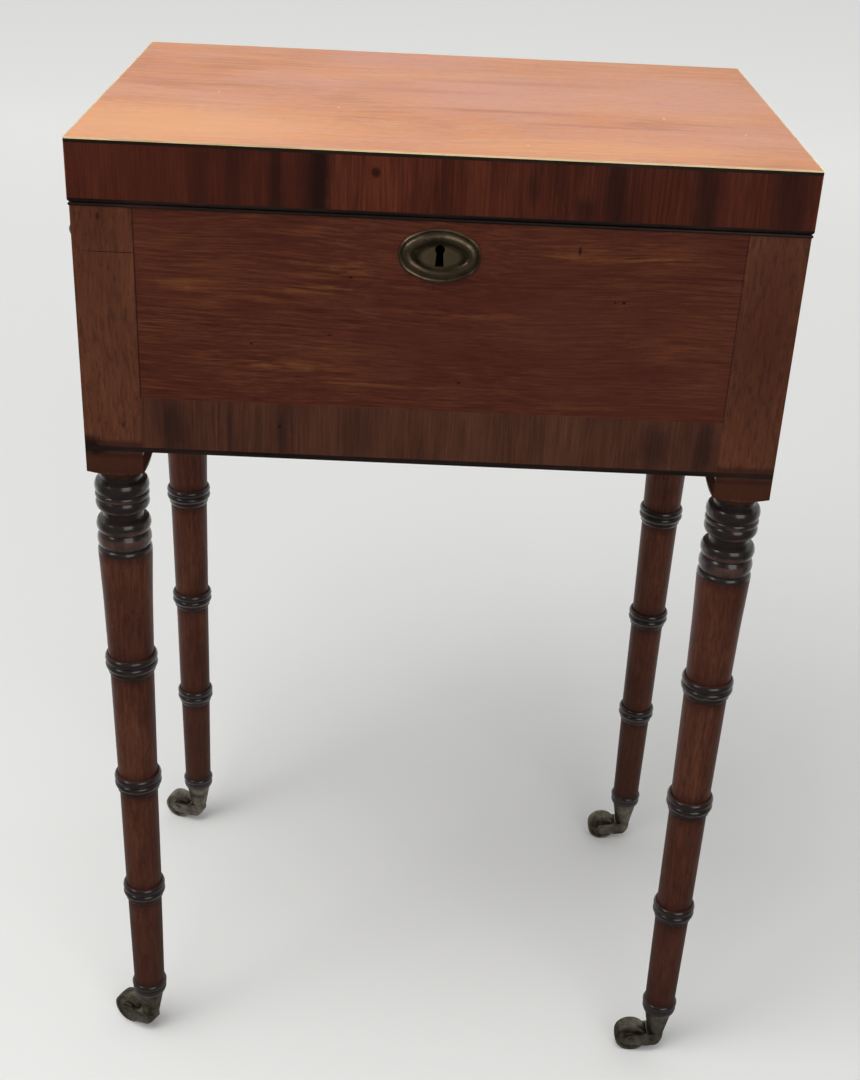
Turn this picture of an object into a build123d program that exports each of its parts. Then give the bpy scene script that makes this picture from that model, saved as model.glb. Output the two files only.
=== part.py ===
from build123d import *
import math
import os

os.makedirs("parts", exist_ok=True)

# A Regency teapoy: a small tea chest with a hinged lid, raised on four turned and ringed
# legs with brass casters. Sizes are millimetres. X runs to the right, Y to the back and Z up.
# The origin is on the floor under the middle of the cabinet.

# Cabinet
height = 744.0
lid_width = 460.0
lid_depth = 318.0
lid_height = 40.0
overhang = 1.0  # lid past the case, all round
case_height = 167.0  # lid line to the lower edge of the case
block_height = 15.0  # square of the leg that shows below the case
post_side = 38.0
board = 11.0  # carcass wood under the veneer
veneer = 1.2
tongue_depth = 6.0  # carcass boards into the posts
tongue_thickness = 5.0
crossband_height = 35.5
base_line = 3.5  # ebony line along the foot of the case
floor_thickness = 9.0
floor_rise = 6.0  # underside of the floor above the lower edge
floor_tongue = 5.0

# Ebonised bead round the mouth of the case, and the lid's own edges
rim_bead_height = 2.0
rim_bead_width = 4.0
rim_bead_proud = 0.7
boxwood_line = 0.9  # pale square line at the lid's top arris
ebony_line = 2.2  # dark line under it, on the edges
lid_bead_height = 3.0
lid_bead_width = 3.2
lid_bead_round = 2.6
lid_board = 11.0
lid_joint_x = -68.0  # where two leaves of crossbanding meet on the lid's front

# Turned leg: radii and heights below the square
pommel_edge_radius = 19.2  # where the underside of the square turns into the neck
pommel_edge_drop = 2.8
pommel_drop = 8.8  # end of the hollow under the square
pommel_hollow = 0.8
neck_radius = 14.4
neck_drop = 12.0  # top of the first bead below the square
bead_heights = [9.8, 4.8, 9.6, 10.6, 11.4]
bead_radii = [18.7, 18.6, 18.5, 18.8, 18.8]
bead_widest = [0.53, 0.5, 0.33, 0.46, 0.51]  # where each is widest, as a share of its height
bead_feet = [17.6, 17.4, 14.0, 16.8, 17.2]  # radius at each bead's foot
bead_slope = 1.3  # slope that leads into the first bead after a neck
upper_beads = 3  # beads above the second neck
second_neck_height = 5.2
shoulder_radius = 18.9
shoulder_height = 4.0
taper_hollow = 0.35  # how far the upper taper falls inside a straight line
ring_heights = [361.0, 254.9, 149.2]
ring_radii = [18.9, 17.6, 16.2]
shaft_above = [16.4, 14.75, 13.7]  # shaft where it enters each ring
shaft_below = [15.8, 14.3, 13.2]
ring_middle_rise = 2.2  # a ring's groove above its middle
ring_upper_bead = 6.2
ring_lower_bead = 5.4
ring_groove = 1.5  # depth of the groove between a ring's beads
ring_step = 0.3  # the fillet inside the groove
ring_fillet = 4.8
ring_fillet_edge = 2.9
last_ring_height = 49.8  # groove of the last ring
last_ring_radius = 13.8
last_ring_bead = 4.8
last_ring_groove = 0.9
last_ring_low_radius = 13.5
last_ring_foot = 12.4
shaft_foot = 12.1

# Casters
caster_cup_top = 43.0
caster_cup_bottom = 20.0
cup_top_radius = 11.3
cup_bottom_radius = 7.0
cup_lip = 0.5
cup_lip_height = 1.4
cup_wall = 1.2
cup_floor = 3.0
spigot_length = 15.0
wheel_radius = 13.2
wheel_width = 11.6
wheel_crown = 0.4
wheel_dish = 1.2
wheel_hub_radius = 4.4
wheel_rim = 2.6
trail = 20.5
axle_radius = 1.6
axle_head = 0.8
pivot_radius = 2.6
pivot_head_radius = 4.2
pivot_head_height = 2.0
horn_boss_radius = 5.0
horn_cheek = 2.2
horn_nose = 7.6  # lowest part of the horn under the cup
horn_bow = 1.2  # curve of its front
swivel_gap = 0.3
wheel_side_gap = 0.4
wheel_tread_gap = 0.7
running_clearance = 0.05
# How far each caster has swung to the back from trailing straight to the left
caster_turns = {"front_left": 30.0, "front_right": 0.0, "back_left": 20.0, "back_right": 0.0}

# Hinges
hinge_spacing = 280.0
leaf_length = 50.0
leaf_thickness = 1.8
leaf_on_wood = 11.0
leaf_gap = 0.1
knuckle_radius = 3.0
knuckle_count = 5
knuckle_gap = 0.15
knuckle_stand_off = 0.4
hinge_pin_radius = 1.3
hinge_screw_pitch = 17.0
knuckle_relief = 0.3

# Wood screws, countersunk
screw_head_radius = 2.4
screw_head_height = 1.4
screw_shank_radius = 1.1
screw_length = 9.0

# Lock, its link plate and the escutcheon
keyhole_drop = 23.4  # middle of the escutcheon below the lid line
lock_width = 56.0
lock_flange = 7.0
lock_height = 40.0
lock_metal = 1.6
lock_cap_wall = 1.2
lock_cap_depth = 7.1
staple_spacing = 24.0
staple_thickness = 2.5
staple_width = 5.0
staple_drop = 11.0
staple_eye = 4.4
staple_eye_width = 3.4
staple_foot = 2.4
bolt_thickness = 2.6
bolt_bar_height = 6.0
bolt_nose_height = 3.2
bolt_stem = 3.0
bolt_nose = 5.9
bolt_gap = 0.35
slot_gap = 0.6
escutcheon_width = 51.4
escutcheon_height = 34.4
escutcheon_end_radius = 13.2  # of the oval's two ends
escutcheon_band = 9.4  # width of the moulded rim
escutcheon_base = 0.8
escutcheon_crest = 3.0
escutcheon_crest_in = 0.43  # crest in from the edge, as a share of the band
escutcheon_bead = 1.8  # fine bead at the edge
escutcheon_dome = 1.6
keyhole_head_radius = 3.1
keyhole_waist = 1.9
keyhole_foot = 2.8
keyhole_height = 14.2

# Side handles
handle_drop = 49.0  # pivot below the lid line
handle_spacing = 104.0
handle_reach = 20.0  # pivot out from the side
pommel_ball_radius = 6.0
rose_radius = 11.0
rose_thickness = 2.6
post_radius = 3.2
post_shank_radius = 2.0
nut_side = 8.0
nut_thickness = 3.0
bail_radius = 3.0
bail_end_radius = 2.1
bail_drop = 40.0
bail_flare = 7.0
bail_shoulder_gap = 0.3
bail_bend = 7.0
bail_corner = 14.0

# Inside the chest
partition_thickness = 8.0
housing_depth = 4.0
platform_thickness = 10.0
platform_drop = 30.0  # top of the platform below the lid line
fit_gap = 1.0  # round a canister in its well
canister_width = 132.0
canister_drop = 34.0  # mouth of a canister below the lid line
canister_wall = 6.0
canister_lid_thickness = 8.0
canister_lip = 4.0
canister_lip_gap = 0.3
knob_radius = 7.0
knob_height = 17.0
knob_neck_radius = 3.6
bowl_hole_radius = 52.0
bowl_spacing = 140.0
bowl_side_gap = 0.4
bowl_rim_out = 2.6
bowl_above = 10.0
bowl_collar = 2.6  # height of the collar that it hangs by
bowl_wall = 3.0
bowl_foot_radius = 24.0
bowl_foot_height = 5.0

# Derived planes, shared by the pieces
case_x = lid_width / 2 - overhang
case_y = lid_depth / 2 - overhang
wall = board + veneer
inner_x = case_x - wall
inner_y = case_y - wall
seam_z = height - lid_height
case_z = seam_z - case_height
block_z = case_z - block_height
floor_z = case_z + floor_rise
chest_z = floor_z + floor_thickness
leg_x = case_x - post_side / 2
leg_y = case_y - post_side / 2
rail_x = case_x - post_side
rail_y = case_y - post_side
hinge_y = lid_depth / 2 + knuckle_stand_off + knuckle_radius
keyhole_z = seam_z - keyhole_drop
handle_z = seam_z - handle_drop
handle_x = case_x + handle_reach
platform_top = seam_z - platform_drop
platform_z = platform_top - platform_thickness
canister_top = seam_z - canister_drop
partition_x = inner_x - canister_width - 2 * fit_gap
well_x = partition_x - partition_thickness

sides = {"left": -1, "right": 1}
ends = {"front": -1, "back": 1}
corners = {f"{end}_{side}": (sx, sy) for end, sy in ends.items() for side, sx in sides.items()}

parts = {}


def block(x0, x1, y0, y1, z0, z1):
    """A box between two corners."""
    return Pos((x0 + x1) / 2, (y0 + y1) / 2, (z0 + z1) / 2) * Box(
        abs(x1 - x0), abs(y1 - y0), abs(z1 - z0)
    )


def frame(x, y, z0, z1, width):
    """A rectangular frame, x by y to its outside from the middle, with a wall of width."""
    outside = block(-x, x, -y, y, z0, z1)
    return outside - block(-x + width, x - width, -y + width, y - width, z0, z1)


def turned(profile, x=0.0, y=0.0, z=0.0):
    """A solid turned about the vertical through x, y from edges drawn as radius and height."""
    face = make_face(Plane.XZ * profile)
    return Pos(x, y, z) * revolve(face, Axis.Z)


def arc_to(points, middle, end):
    """The arc from the last point through middle to end, noted in points."""
    edge = ThreePointArc(points[-1], middle, end)
    points.append(end)
    return edge


def line_to(points, end):
    edge = Line(points[-1], end)
    points.append(end)
    return edge


def joined(solids):
    """Separate solids kept side by side in one node."""
    return Compound(children=[s for piece in solids for s in piece.solids()])


# Carcass ------------------------------------------------------------------------------------


def carcass_board(half_length, face, along_x):
    """A board between two posts, tongued into both, standing on the front or the left."""
    outer = face - veneer
    middle = outer - board / 2
    half_tongue = half_length + tongue_depth
    body = block(-half_length, half_length, -outer, -outer + board, case_z, seam_z)
    tongue = block(
        -half_tongue,
        half_tongue,
        -middle - tongue_thickness / 2,
        -middle + tongue_thickness / 2,
        case_z,
        seam_z,
    )
    piece = body + tongue
    return piece if along_x else Rot(0, 0, -90) * piece


def chest_floor():
    """The floor of the chest, tongued into the four boards, its corners on the posts."""
    tongue_z = floor_z + (floor_thickness - tongue_thickness) / 2
    panel = block(-inner_x, inner_x, -inner_y, inner_y, floor_z, chest_z)
    for x, y in ((rail_x, inner_y + floor_tongue), (inner_x + floor_tongue, rail_y)):
        panel += block(-x, x, -y, y, tongue_z, tongue_z + tongue_thickness)
    return panel


def strips(z0, z1):
    """Four strips of veneer, one on each face of the case, between the posts."""
    front = block(-rail_x, rail_x, -case_y, -case_y + veneer, z0, z1)
    right = block(case_x - veneer, case_x, -rail_y, rail_y, z0, z1)
    return [front, right, mirror(front, Plane.XZ), mirror(right, Plane.YZ)]


def rim_channel():
    """The ebonised bead round the mouth of the case, square, as the case is rebated for it."""
    x = case_x + rim_bead_proud
    y = case_y + rim_bead_proud
    return frame(x, y, seam_z - rim_bead_height, seam_z, rim_bead_width)


def rim_bead():
    """The bead with its nose rounded."""
    x = case_x + rim_bead_proud
    y = case_y + rim_bead_proud
    bead = rim_channel()
    nose = bead.edges().filter_by(Axis.Z, reverse=True).filter_by(
        lambda e: abs(e.center().X) > x - 0.01 or abs(e.center().Y) > y - 0.01
    )
    return fillet(nose, rim_bead_height * 0.42)


# Legs ---------------------------------------------------------------------------------------


def leg_profile():
    """Half of the turning, drawn from the square down to the spigot that the caster holds."""
    corner = post_side * 0.75
    points = [(0.0, block_z + post_side), (corner, block_z + post_side)]
    edges = [Line(points[0], points[1])]
    edges.append(line_to(points, (corner, block_z)))
    pommel_z = block_z - pommel_edge_drop
    neck_z = block_z - pommel_drop
    edges.append(line_to(points, (pommel_edge_radius, pommel_z)))
    across = (pommel_edge_radius + neck_radius) / 2 - pommel_hollow
    hollow = (across, (pommel_z + neck_z + pommel_hollow) / 2)
    edges.append(arc_to(points, hollow, (neck_radius, neck_z)))
    # Three beads on a collar, a second neck, two more beads and the shoulder of the taper
    z = block_z - neck_drop
    edges.append(line_to(points, (neck_radius, z)))
    for i, tall in enumerate(bead_heights):
        if i == upper_beads:
            z -= second_neck_height
            edges.append(line_to(points, (bead_feet[i - 1], z)))
        if i in (0, upper_beads):
            edges.append(line_to(points, (bead_radii[i] - bead_slope, z - bead_slope)))
        middle = (bead_radii[i], z - tall * bead_widest[i])
        z -= tall
        edges.append(arc_to(points, middle, (bead_feet[i], z)))
    middle = (shoulder_radius - 0.5, z - shoulder_height * 0.375)
    z -= shoulder_height
    edges.append(arc_to(points, middle, (shoulder_radius, z)))
    # The taper from the shoulder to the first ring, quicker at the top
    ring_reach = ring_middle_rise + ring_upper_bead
    first_ring_top = ring_heights[0] + ring_reach
    hollow = ((shoulder_radius + shaft_above[0]) / 2 - taper_hollow, (z + first_ring_top) / 2)
    edges.append(line_to(points, hollow))
    edges.append(line_to(points, (shaft_above[0], first_ring_top)))
    for i, ring_z in enumerate(ring_heights):
        add_ring(edges, points, ring_z, ring_radii[i], shaft_below[i])
        below = shaft_above[i + 1] if i + 1 < len(ring_heights) else shaft_foot
        next_z = ring_heights[i + 1] if i + 1 < len(ring_heights) else last_ring_height
        reach = ring_reach if i + 1 < len(ring_heights) else last_ring_bead
        edges.append(line_to(points, (below, next_z + reach)))
    # The last ring: a small bead over a wider one that sits on the caster's cup
    groove = last_ring_radius - last_ring_groove
    top_middle = (last_ring_radius, last_ring_height + last_ring_bead / 2)
    edges.append(arc_to(points, top_middle, (groove, last_ring_height)))
    low_middle = (last_ring_low_radius, (last_ring_height + caster_cup_top) / 2)
    edges.append(arc_to(points, low_middle, (last_ring_foot, caster_cup_top)))
    edges.append(line_to(points, (cup_bore(caster_cup_top), caster_cup_top)))
    spigot_z = caster_cup_top - spigot_length
    edges.append(line_to(points, (cup_bore(spigot_z), spigot_z)))
    edges.append(line_to(points, (0.0, spigot_z)))
    edges.append(line_to(points, points[0]))
    return Curve() + edges


def add_ring(edges, points, z, radius, shaft):
    """A bamboo ring: two round beads with a groove between, and a plain fillet below."""
    z += ring_middle_rise
    groove = radius - ring_groove
    low = z - ring_lower_bead
    edges.append(line_to(points, (groove - ring_step, z + ring_upper_bead)))
    edges.append(arc_to(points, (radius, z + ring_upper_bead / 2), (groove, z)))
    edges.append(arc_to(points, (radius, z - ring_lower_bead / 2), (groove - ring_step, low)))
    edges.append(line_to(points, (groove - ring_step, low - ring_fillet_edge)))
    edges.append(line_to(points, (shaft, low - ring_fillet)))


def leg(sx, sy, notches):
    """A leg turned from one square: the square stays as the corner post of the case."""
    x = sx * leg_x
    y = sy * leg_y
    half = post_side / 2
    post = block(x - half, x + half, y - half, y + half, caster_cup_bottom, seam_z)
    turning = turned(leg_profile(), x, y)
    head = block(x - half, x + half, y - half, y + half, block_z + 1.0, seam_z)
    piece = (post & turning) + head
    piece -= block(-inner_x, inner_x, -inner_y, inner_y, floor_z, seam_z)
    for notch in notches:
        piece -= notch
    return piece


# Casters ------------------------------------------------------------------------------------


def cup_radius(z):
    """Outside of the tapered cup at a height."""
    share = (z - caster_cup_bottom) / (caster_cup_top - caster_cup_bottom)
    return cup_bottom_radius + share * (cup_top_radius - cup_bottom_radius)


def cup_bore(z):
    return cup_radius(z) - cup_wall


def caster_cup(x, y):
    """The brass cup on the end of the leg, with a rolled lip and a drilled floor."""
    top = caster_cup_top
    low = caster_cup_bottom
    lip_z = top - cup_lip_height
    floor_top = low + cup_floor
    lip = cup_radius(lip_z) + cup_lip
    lip_edge = cup_lip / 2
    hole = pivot_radius + running_clearance
    profile = Curve() + [
        Line((hole, low), (cup_bottom_radius, low)),
        Line((cup_bottom_radius, low), (cup_radius(lip_z), lip_z)),
        Line((cup_radius(lip_z), lip_z), (lip, lip_z + lip_edge)),
        Line((lip, lip_z + lip_edge), (lip - lip_edge, top)),
        Line((lip - lip_edge, top), (cup_bore(top), top)),
        Line((cup_bore(top), top), (cup_bore(floor_top), floor_top)),
        Line((cup_bore(floor_top), floor_top), (hole, floor_top)),
        Line((hole, floor_top), (hole, low)),
    ]
    return turned(profile, x, y)


def caster_place(name, sx, sy):
    """Where a caster stands, turned as it has swung."""
    return Pos(sx * leg_x, sy * leg_y, 0) * Rot(0, 0, -caster_turns[name])


def caster_horn():
    """The swivelling horn: two cheeks reaching back to the axle, with its pivot riveted in."""
    top = caster_cup_bottom - swivel_gap
    axle_z = wheel_radius
    collar = cup_bottom_radius - 0.3
    boss_low = (-trail, axle_z - horn_boss_radius)
    boss_top = (-trail, axle_z + horn_boss_radius)
    nose = (0, horn_nose)
    outline = Curve() + [
        Line((-collar, top), (collar, top)),
        ThreePointArc((collar, top), (collar - horn_bow, (top + horn_nose) / 2 - 1), nose),
        Line(nose, boss_low),
        ThreePointArc(boss_low, (-trail - horn_boss_radius, axle_z), boss_top),
        Line(boss_top, (-collar, top)),
    ]
    half = wheel_width / 2 + wheel_side_gap + horn_cheek
    reach = trail + horn_boss_radius + 1.0
    body = extrude(make_face(Plane.XZ * outline), half, both=True)
    plan = make_face(
        Polyline(
            (0, collar), (-collar, half), (-reach, half), (-reach, -half), (-collar, -half),
            (0, -collar), (0, collar),
        )
    )
    plan_body = extrude(plan, top) + Cylinder(collar, top, align=(Align.CENTER, Align.CENTER, Align.MIN))
    body &= plan_body
    slot_radius = wheel_radius + wheel_tread_gap
    slot = Cylinder(slot_radius, wheel_width + 2 * wheel_side_gap)
    body -= Pos(-trail, 0, axle_z) * Rot(90, 0, 0) * slot
    body -= Pos(-trail, 0, axle_z) * Rot(90, 0, 0) * Cylinder(axle_radius, 4 * half)
    head_z = caster_cup_bottom + cup_floor + running_clearance
    up = (Align.CENTER, Align.CENTER, Align.MIN)
    body += Pos(0, 0, top - 1) * Cylinder(pivot_radius, head_z - top + 2, align=up)
    body += Pos(0, 0, head_z) * Cylinder(pivot_head_radius, pivot_head_height, align=up)
    axle = Pos(-trail, 0, axle_z) * Rot(90, 0, 0) * Cylinder(axle_radius, 2 * half)
    heads = [
        Pos(-trail, s * (half + axle_head / 2), axle_z)
        * Rot(90, 0, 0)
        * Cylinder(axle_radius * 1.5, axle_head)
        for s in (-1, 1)
    ]
    rivet = axle + heads[0] + heads[1]
    return joined([body, rivet])


def caster_wheel():
    """A brass roller with a crowned tread and dished faces, bored for the axle."""
    half = wheel_width / 2
    bore = axle_radius + running_clearance
    rim = wheel_radius - wheel_rim
    face = half - wheel_dish
    edge = wheel_radius - wheel_crown
    outline = Curve() + [
        Line((bore, -half), (wheel_hub_radius, -half)),
        Line((wheel_hub_radius, -half), (wheel_hub_radius + 0.6, -face)),
        Line((wheel_hub_radius + 0.6, -face), (rim - 0.6, -face)),
        Line((rim - 0.6, -face), (rim, -half)),
        Line((rim, -half), (edge, -half)),
        Line((edge, -half), (wheel_radius, -half / 3)),
        Line((wheel_radius, -half / 3), (wheel_radius, half / 3)),
        Line((wheel_radius, half / 3), (edge, half)),
        Line((edge, half), (rim, half)),
        Line((rim, half), (rim - 0.6, face)),
        Line((rim - 0.6, face), (wheel_hub_radius + 0.6, face)),
        Line((wheel_hub_radius + 0.6, face), (wheel_hub_radius, half)),
        Line((wheel_hub_radius, half), (bore, half)),
        Line((bore, half), (bore, -half)),
    ]
    wheel = Rot(90, 0, 0) * turned(outline)
    return Pos(-trail, 0, wheel_radius) * wheel


# Lid ----------------------------------------------------------------------------------------


def lid_channel():
    """The ebonised bead along the lid's lower edge, square, as the lid is rebated for it."""
    x = lid_width / 2
    y = lid_depth / 2
    return frame(x, y, seam_z, seam_z + lid_bead_height, lid_bead_width)


def lid_bead():
    """The bead rounded underneath."""
    x = lid_width / 2
    y = lid_depth / 2
    bead = lid_channel()
    low = bead.edges().filter_by(
        lambda e: abs(e.center().Z - seam_z) < 0.01
        and (abs(e.center().X) > x - 0.01 or abs(e.center().Y) > y - 0.01)
    )
    return fillet(low, lid_bead_round)


def lid_strips():
    """Crossbanding on the four edges of the lid; the front is two leaves that meet."""
    x = lid_width / 2
    y = lid_depth / 2
    z0 = seam_z + lid_bead_height
    z1 = height - boxwood_line - ebony_line
    front = [
        block(-x, lid_joint_x, -y, -y + veneer, z0, z1),
        block(lid_joint_x, x, -y, -y + veneer, z0, z1),
    ]
    back = [block(-x, x, y - veneer, y, z0, z1)]
    ends_of_lid = [
        block(s * x, s * (x - veneer), -y + veneer, y - veneer, z0, z1) for s in (-1, 1)
    ]
    return front + back + ends_of_lid


# Hinges and screws --------------------------------------------------------------------------


def screw(x, y, z, direction):
    """A countersunk screw with its head's face at x, y, z, driven along direction."""
    profile = Curve() + [
        Line((0, 0), (screw_head_radius, 0)),
        Line((screw_head_radius, 0), (screw_shank_radius, -screw_head_height)),
        Line((screw_shank_radius, -screw_head_height), (screw_shank_radius, -screw_length)),
        Line((screw_shank_radius, -screw_length), (0, -screw_length)),
        Line((0, -screw_length), (0, 0)),
    ]
    plane = Plane(origin=(x, y, z), z_dir=(-direction[0], -direction[1], -direction[2]))
    return plane * turned(profile)


def hinge_screws(x, up):
    """Three screws through one leaf, into the case below or the lid above."""
    y = lid_depth / 2 - overhang - leaf_on_wood / 2
    z = seam_z + up * leaf_gap
    pitches = (-hinge_screw_pitch, 0, hinge_screw_pitch)
    return [screw(x + dx, y, z, (0, 0, up)) for dx in pitches]


def hinge_leaf(x, up, own_knuckles):
    """One leaf of a butt hinge with its knuckles; up is 1 for the lid and -1 for the case."""
    z0 = seam_z + up * leaf_gap
    z1 = z0 + up * leaf_thickness
    y0 = case_y - leaf_on_wood
    half = leaf_length / 2
    leaf = block(x - half, x + half, y0, hinge_y, z0, z1)
    pitch = leaf_length / knuckle_count
    bore = hinge_pin_radius + (running_clearance if up > 0 else 0)
    for i in range(knuckle_count):
        middle = x - half + (i + 0.5) * pitch
        spot = Pos(middle, hinge_y, seam_z) * Rot(0, 90, 0)
        if i % 2 != own_knuckles:
            leaf -= spot * Cylinder(knuckle_radius + knuckle_relief, pitch)
    for i in range(knuckle_count):
        middle = x - half + (i + 0.5) * pitch
        spot = Pos(middle, hinge_y, seam_z) * Rot(0, 90, 0)
        if i % 2 == own_knuckles:
            end_gap = knuckle_gap * 2
            leaf += spot * Cylinder(knuckle_radius, pitch - end_gap)
    leaf -= Pos(x, hinge_y, seam_z) * Rot(0, 90, 0) * Cylinder(bore, leaf_length + 2)
    for fastener in hinge_screws(x, up):
        leaf -= fastener
    return leaf


def leaf_pocket(x, up):
    """What the leaf lets into the wood: its plate and the air gap over it."""
    half = leaf_length / 2
    z1 = seam_z + up * (leaf_gap + leaf_thickness)
    return block(x - half, x + half, case_y - leaf_on_wood, hinge_y, seam_z, z1)


# Lock and escutcheon ------------------------------------------------------------------------


def keyhole(y0, y1):
    """The keyhole as a solid between two depths: a round head over a flared foot."""
    low = keyhole_z - keyhole_height / 2
    head_z = keyhole_z + keyhole_height / 2 - keyhole_head_radius
    slot = Polyline(
        (-keyhole_foot, low),
        (keyhole_foot, low),
        (keyhole_waist, head_z),
        (-keyhole_waist, head_z),
        (-keyhole_foot, low),
    )
    plane = Plane(origin=(0, y1, 0), x_dir=(1, 0, 0), z_dir=(0, -1, 0))
    foot = extrude(plane * make_face(slot), y1 - y0)
    head = extrude(plane * Pos(0, head_z) * Circle(keyhole_head_radius), y1 - y0)
    return foot + head


def oval(inset):
    """An oval of four arcs that meet without a corner, inset from the escutcheon's edge."""
    a = escutcheon_width / 2
    b = escutcheon_height / 2
    end = escutcheon_end_radius
    side = ((a - end) ** 2 + b**2 - end**2) / (2 * (b - end))
    # The arcs meet on the line through both their centres
    reach = math.hypot(a - end, side - b)
    meet_x = (a - end) * side / reach - inset * (a - end) / reach
    meet_y = (b - side) + (side - b) * side / reach - inset * (side - b) / reach
    arcs = []
    for sx, sy in ((1, 1), (-1, 1), (-1, -1), (1, -1)):
        corner = (sx * meet_x, sy * meet_y)
        tip = (sx * (a - inset), 0)
        top = (0, sy * (b - inset))
        turn = math.atan2(meet_y, meet_x - (a - end)) / 2
        near_tip = (
            sx * (a - end + (end - inset) * math.cos(turn)),
            sy * (end - inset) * math.sin(turn),
        )
        lean = math.atan2(meet_x, meet_y + side - b) / 2
        near_top = (
            sx * (side - inset) * math.sin(lean),
            sy * (b - side + (side - inset) * math.cos(lean)),
        )
        arcs.append((tip, near_tip, corner))
        arcs.append((corner, near_top, top))
    return Curve() + [ThreePointArc(*arc) for arc in arcs]


def escutcheon():
    """The oval brass plate: a moulded rim of even width, swept round, with a domed centre."""
    face_y = -case_y
    plane = Plane(origin=(0, face_y, keyhole_z), x_dir=(1, 0, 0), z_dir=(0, -1, 0))
    path = plane * oval(0)
    tip = plane.from_local_coords((escutcheon_width / 2, 0, 0))
    section_plane = Plane(origin=tip, x_dir=(-1, 0, 0), z_dir=(0, 0, 1))
    band = escutcheon_band
    base = escutcheon_base
    crest = escutcheon_crest
    # Drawn as distance in from the edge and height off the case
    section = Curve() + [
        Line((0, 0), (0, base)),
        Line((0, base), (escutcheon_bead / 2, base + escutcheon_bead / 3)),
        Line((escutcheon_bead / 2, base + escutcheon_bead / 3), (escutcheon_bead, base)),
        ThreePointArc((escutcheon_bead, base), (band * escutcheon_crest_in, crest), (band - 0.4, base)),
        Line((band - 0.4, base), (band, base)),
        Line((band, base), (band, 0)),
        Line((band, 0), (0, 0)),
    ]
    rim = sweep(section_plane * make_face(section), path=path)
    plate = extrude(plane * make_face(oval(band - 0.4)), base)
    dome = extrude(plane * make_face(oval(band + 0.5)), escutcheon_dome)
    dome = chamfer(dome.edges().group_by(Axis.Y)[0], 0.6)
    return rim + plate + dome - keyhole(face_y - 5, face_y)


def lock_frame():
    """Depths and heights of the lock, from the board that holds it."""
    back = -inner_y
    plate = back - lock_metal
    cap = plate - lock_cap_depth
    return back, plate, cap


def lock_envelope():
    """The wood that the lock displaces: back plate, selvedge and box."""
    back, plate, cap = lock_frame()
    half = lock_width / 2
    wide = half + lock_flange
    low = seam_z - lock_height
    return (
        block(-wide, wide, plate, back, low, seam_z)
        + block(-wide, wide, cap, back, seam_z - lock_metal, seam_z)
        + block(-half, half, cap, back, low + 3, seam_z)
    )


def lock_case():
    """The lock's back plate, selvedge and box, with slots for the staples and the key."""
    back, plate, cap = lock_frame()
    half = lock_width / 2
    low = seam_z - lock_height + 3
    inside = block(
        -half + lock_cap_wall,
        half - lock_cap_wall,
        cap + lock_cap_wall,
        plate,
        low + lock_cap_wall,
        seam_z - lock_metal,
    )
    case = lock_envelope() - inside
    bar_z = bolt_bar_z()
    ledge = block(-half, half, cap, plate, bar_z - bolt_gap - 2, bar_z - bolt_gap)
    key_way = block(-8, 8, cap, plate, low, keyhole_z + keyhole_height / 2 + 0.5)
    case += ledge - key_way
    case -= keyhole(cap - 1, plate)
    for sx in (-1, 1):
        x = sx * staple_spacing / 2
        y = bolt_y()
        wide = staple_thickness / 2 + slot_gap
        deep = staple_width / 2 + slot_gap / 2
        case -= block(x - wide, x + wide, y - deep, y + deep, seam_z - lock_metal, seam_z)
    for fastener in lock_screws():
        case -= fastener
    return case


def bolt_y():
    back, plate, cap = lock_frame()
    return (plate + cap + lock_cap_wall) / 2


def bolt_bar_z():
    """Underside of the bolt's bar, which stays clear below the staples."""
    return seam_z - staple_drop - bolt_gap - bolt_bar_height


def lock_bolt():
    """The sliding bolt: a bar with two hooked noses that shoot through the staples' eyes."""
    y = bolt_y()
    y0 = y - bolt_thickness / 2
    y1 = y + bolt_thickness / 2
    bar_z = bolt_bar_z()
    bar_top = bar_z + bolt_bar_height
    eye_z = seam_z - staple_drop + staple_foot + staple_eye / 2
    nose_low = eye_z - bolt_nose_height / 2
    nose_high = eye_z + bolt_nose_height / 2
    first = -staple_spacing / 2 - staple_thickness / 2 - bolt_gap - bolt_nose - bolt_stem
    last = staple_spacing / 2 + bolt_stem
    bolt = block(first, last, y0, y1, bar_z, bar_top)
    for sx in (-1, 1):
        tip = sx * staple_spacing / 2 - staple_thickness / 2 - bolt_gap
        stem = tip - bolt_nose
        bolt += block(stem - bolt_stem, stem, y0, y1, bar_top - 1, nose_high)
        bolt += block(stem, tip, y0, y1, nose_low, nose_high)
    return bolt


def lock_screws():
    wide = lock_width / 2 + lock_flange / 2
    heights = (seam_z - 7, seam_z - lock_height + 6)
    return [screw(s * wide, -inner_y, z, (0, -1, 0)) for s in (-1, 1) for z in heights]


def link_plate():
    """The plate on the lid's front rail with two staples that drop into the lock."""
    y = bolt_y()
    wide = lock_width / 2 + lock_flange
    back, plate, cap = lock_frame()
    piece = block(-wide, wide, cap, back, seam_z, seam_z + lock_metal)
    low = seam_z - staple_drop
    for sx in (-1, 1):
        x = sx * staple_spacing / 2
        x0 = x - staple_thickness / 2
        x1 = x + staple_thickness / 2
        staple = block(x0, x1, y - staple_width / 2, y + staple_width / 2, low, seam_z + 1)
        eye = staple_eye_width / 2
        foot = low + staple_foot
        staple -= block(x0, x1, y - eye, y + eye, foot, foot + staple_eye)
        piece += staple
    for fastener in link_screws():
        piece -= fastener
    return piece


def link_screws():
    y = bolt_y()
    wide = lock_width / 2 + lock_flange / 2
    return [screw(s * wide, y, seam_z, (0, 0, 1)) for s in (-1, 1)]


# Handles ------------------------------------------------------------------------------------


def handle_spots():
    return [(sx, sy) for sx in (-1, 1) for sy in (-1, 1)]


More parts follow.
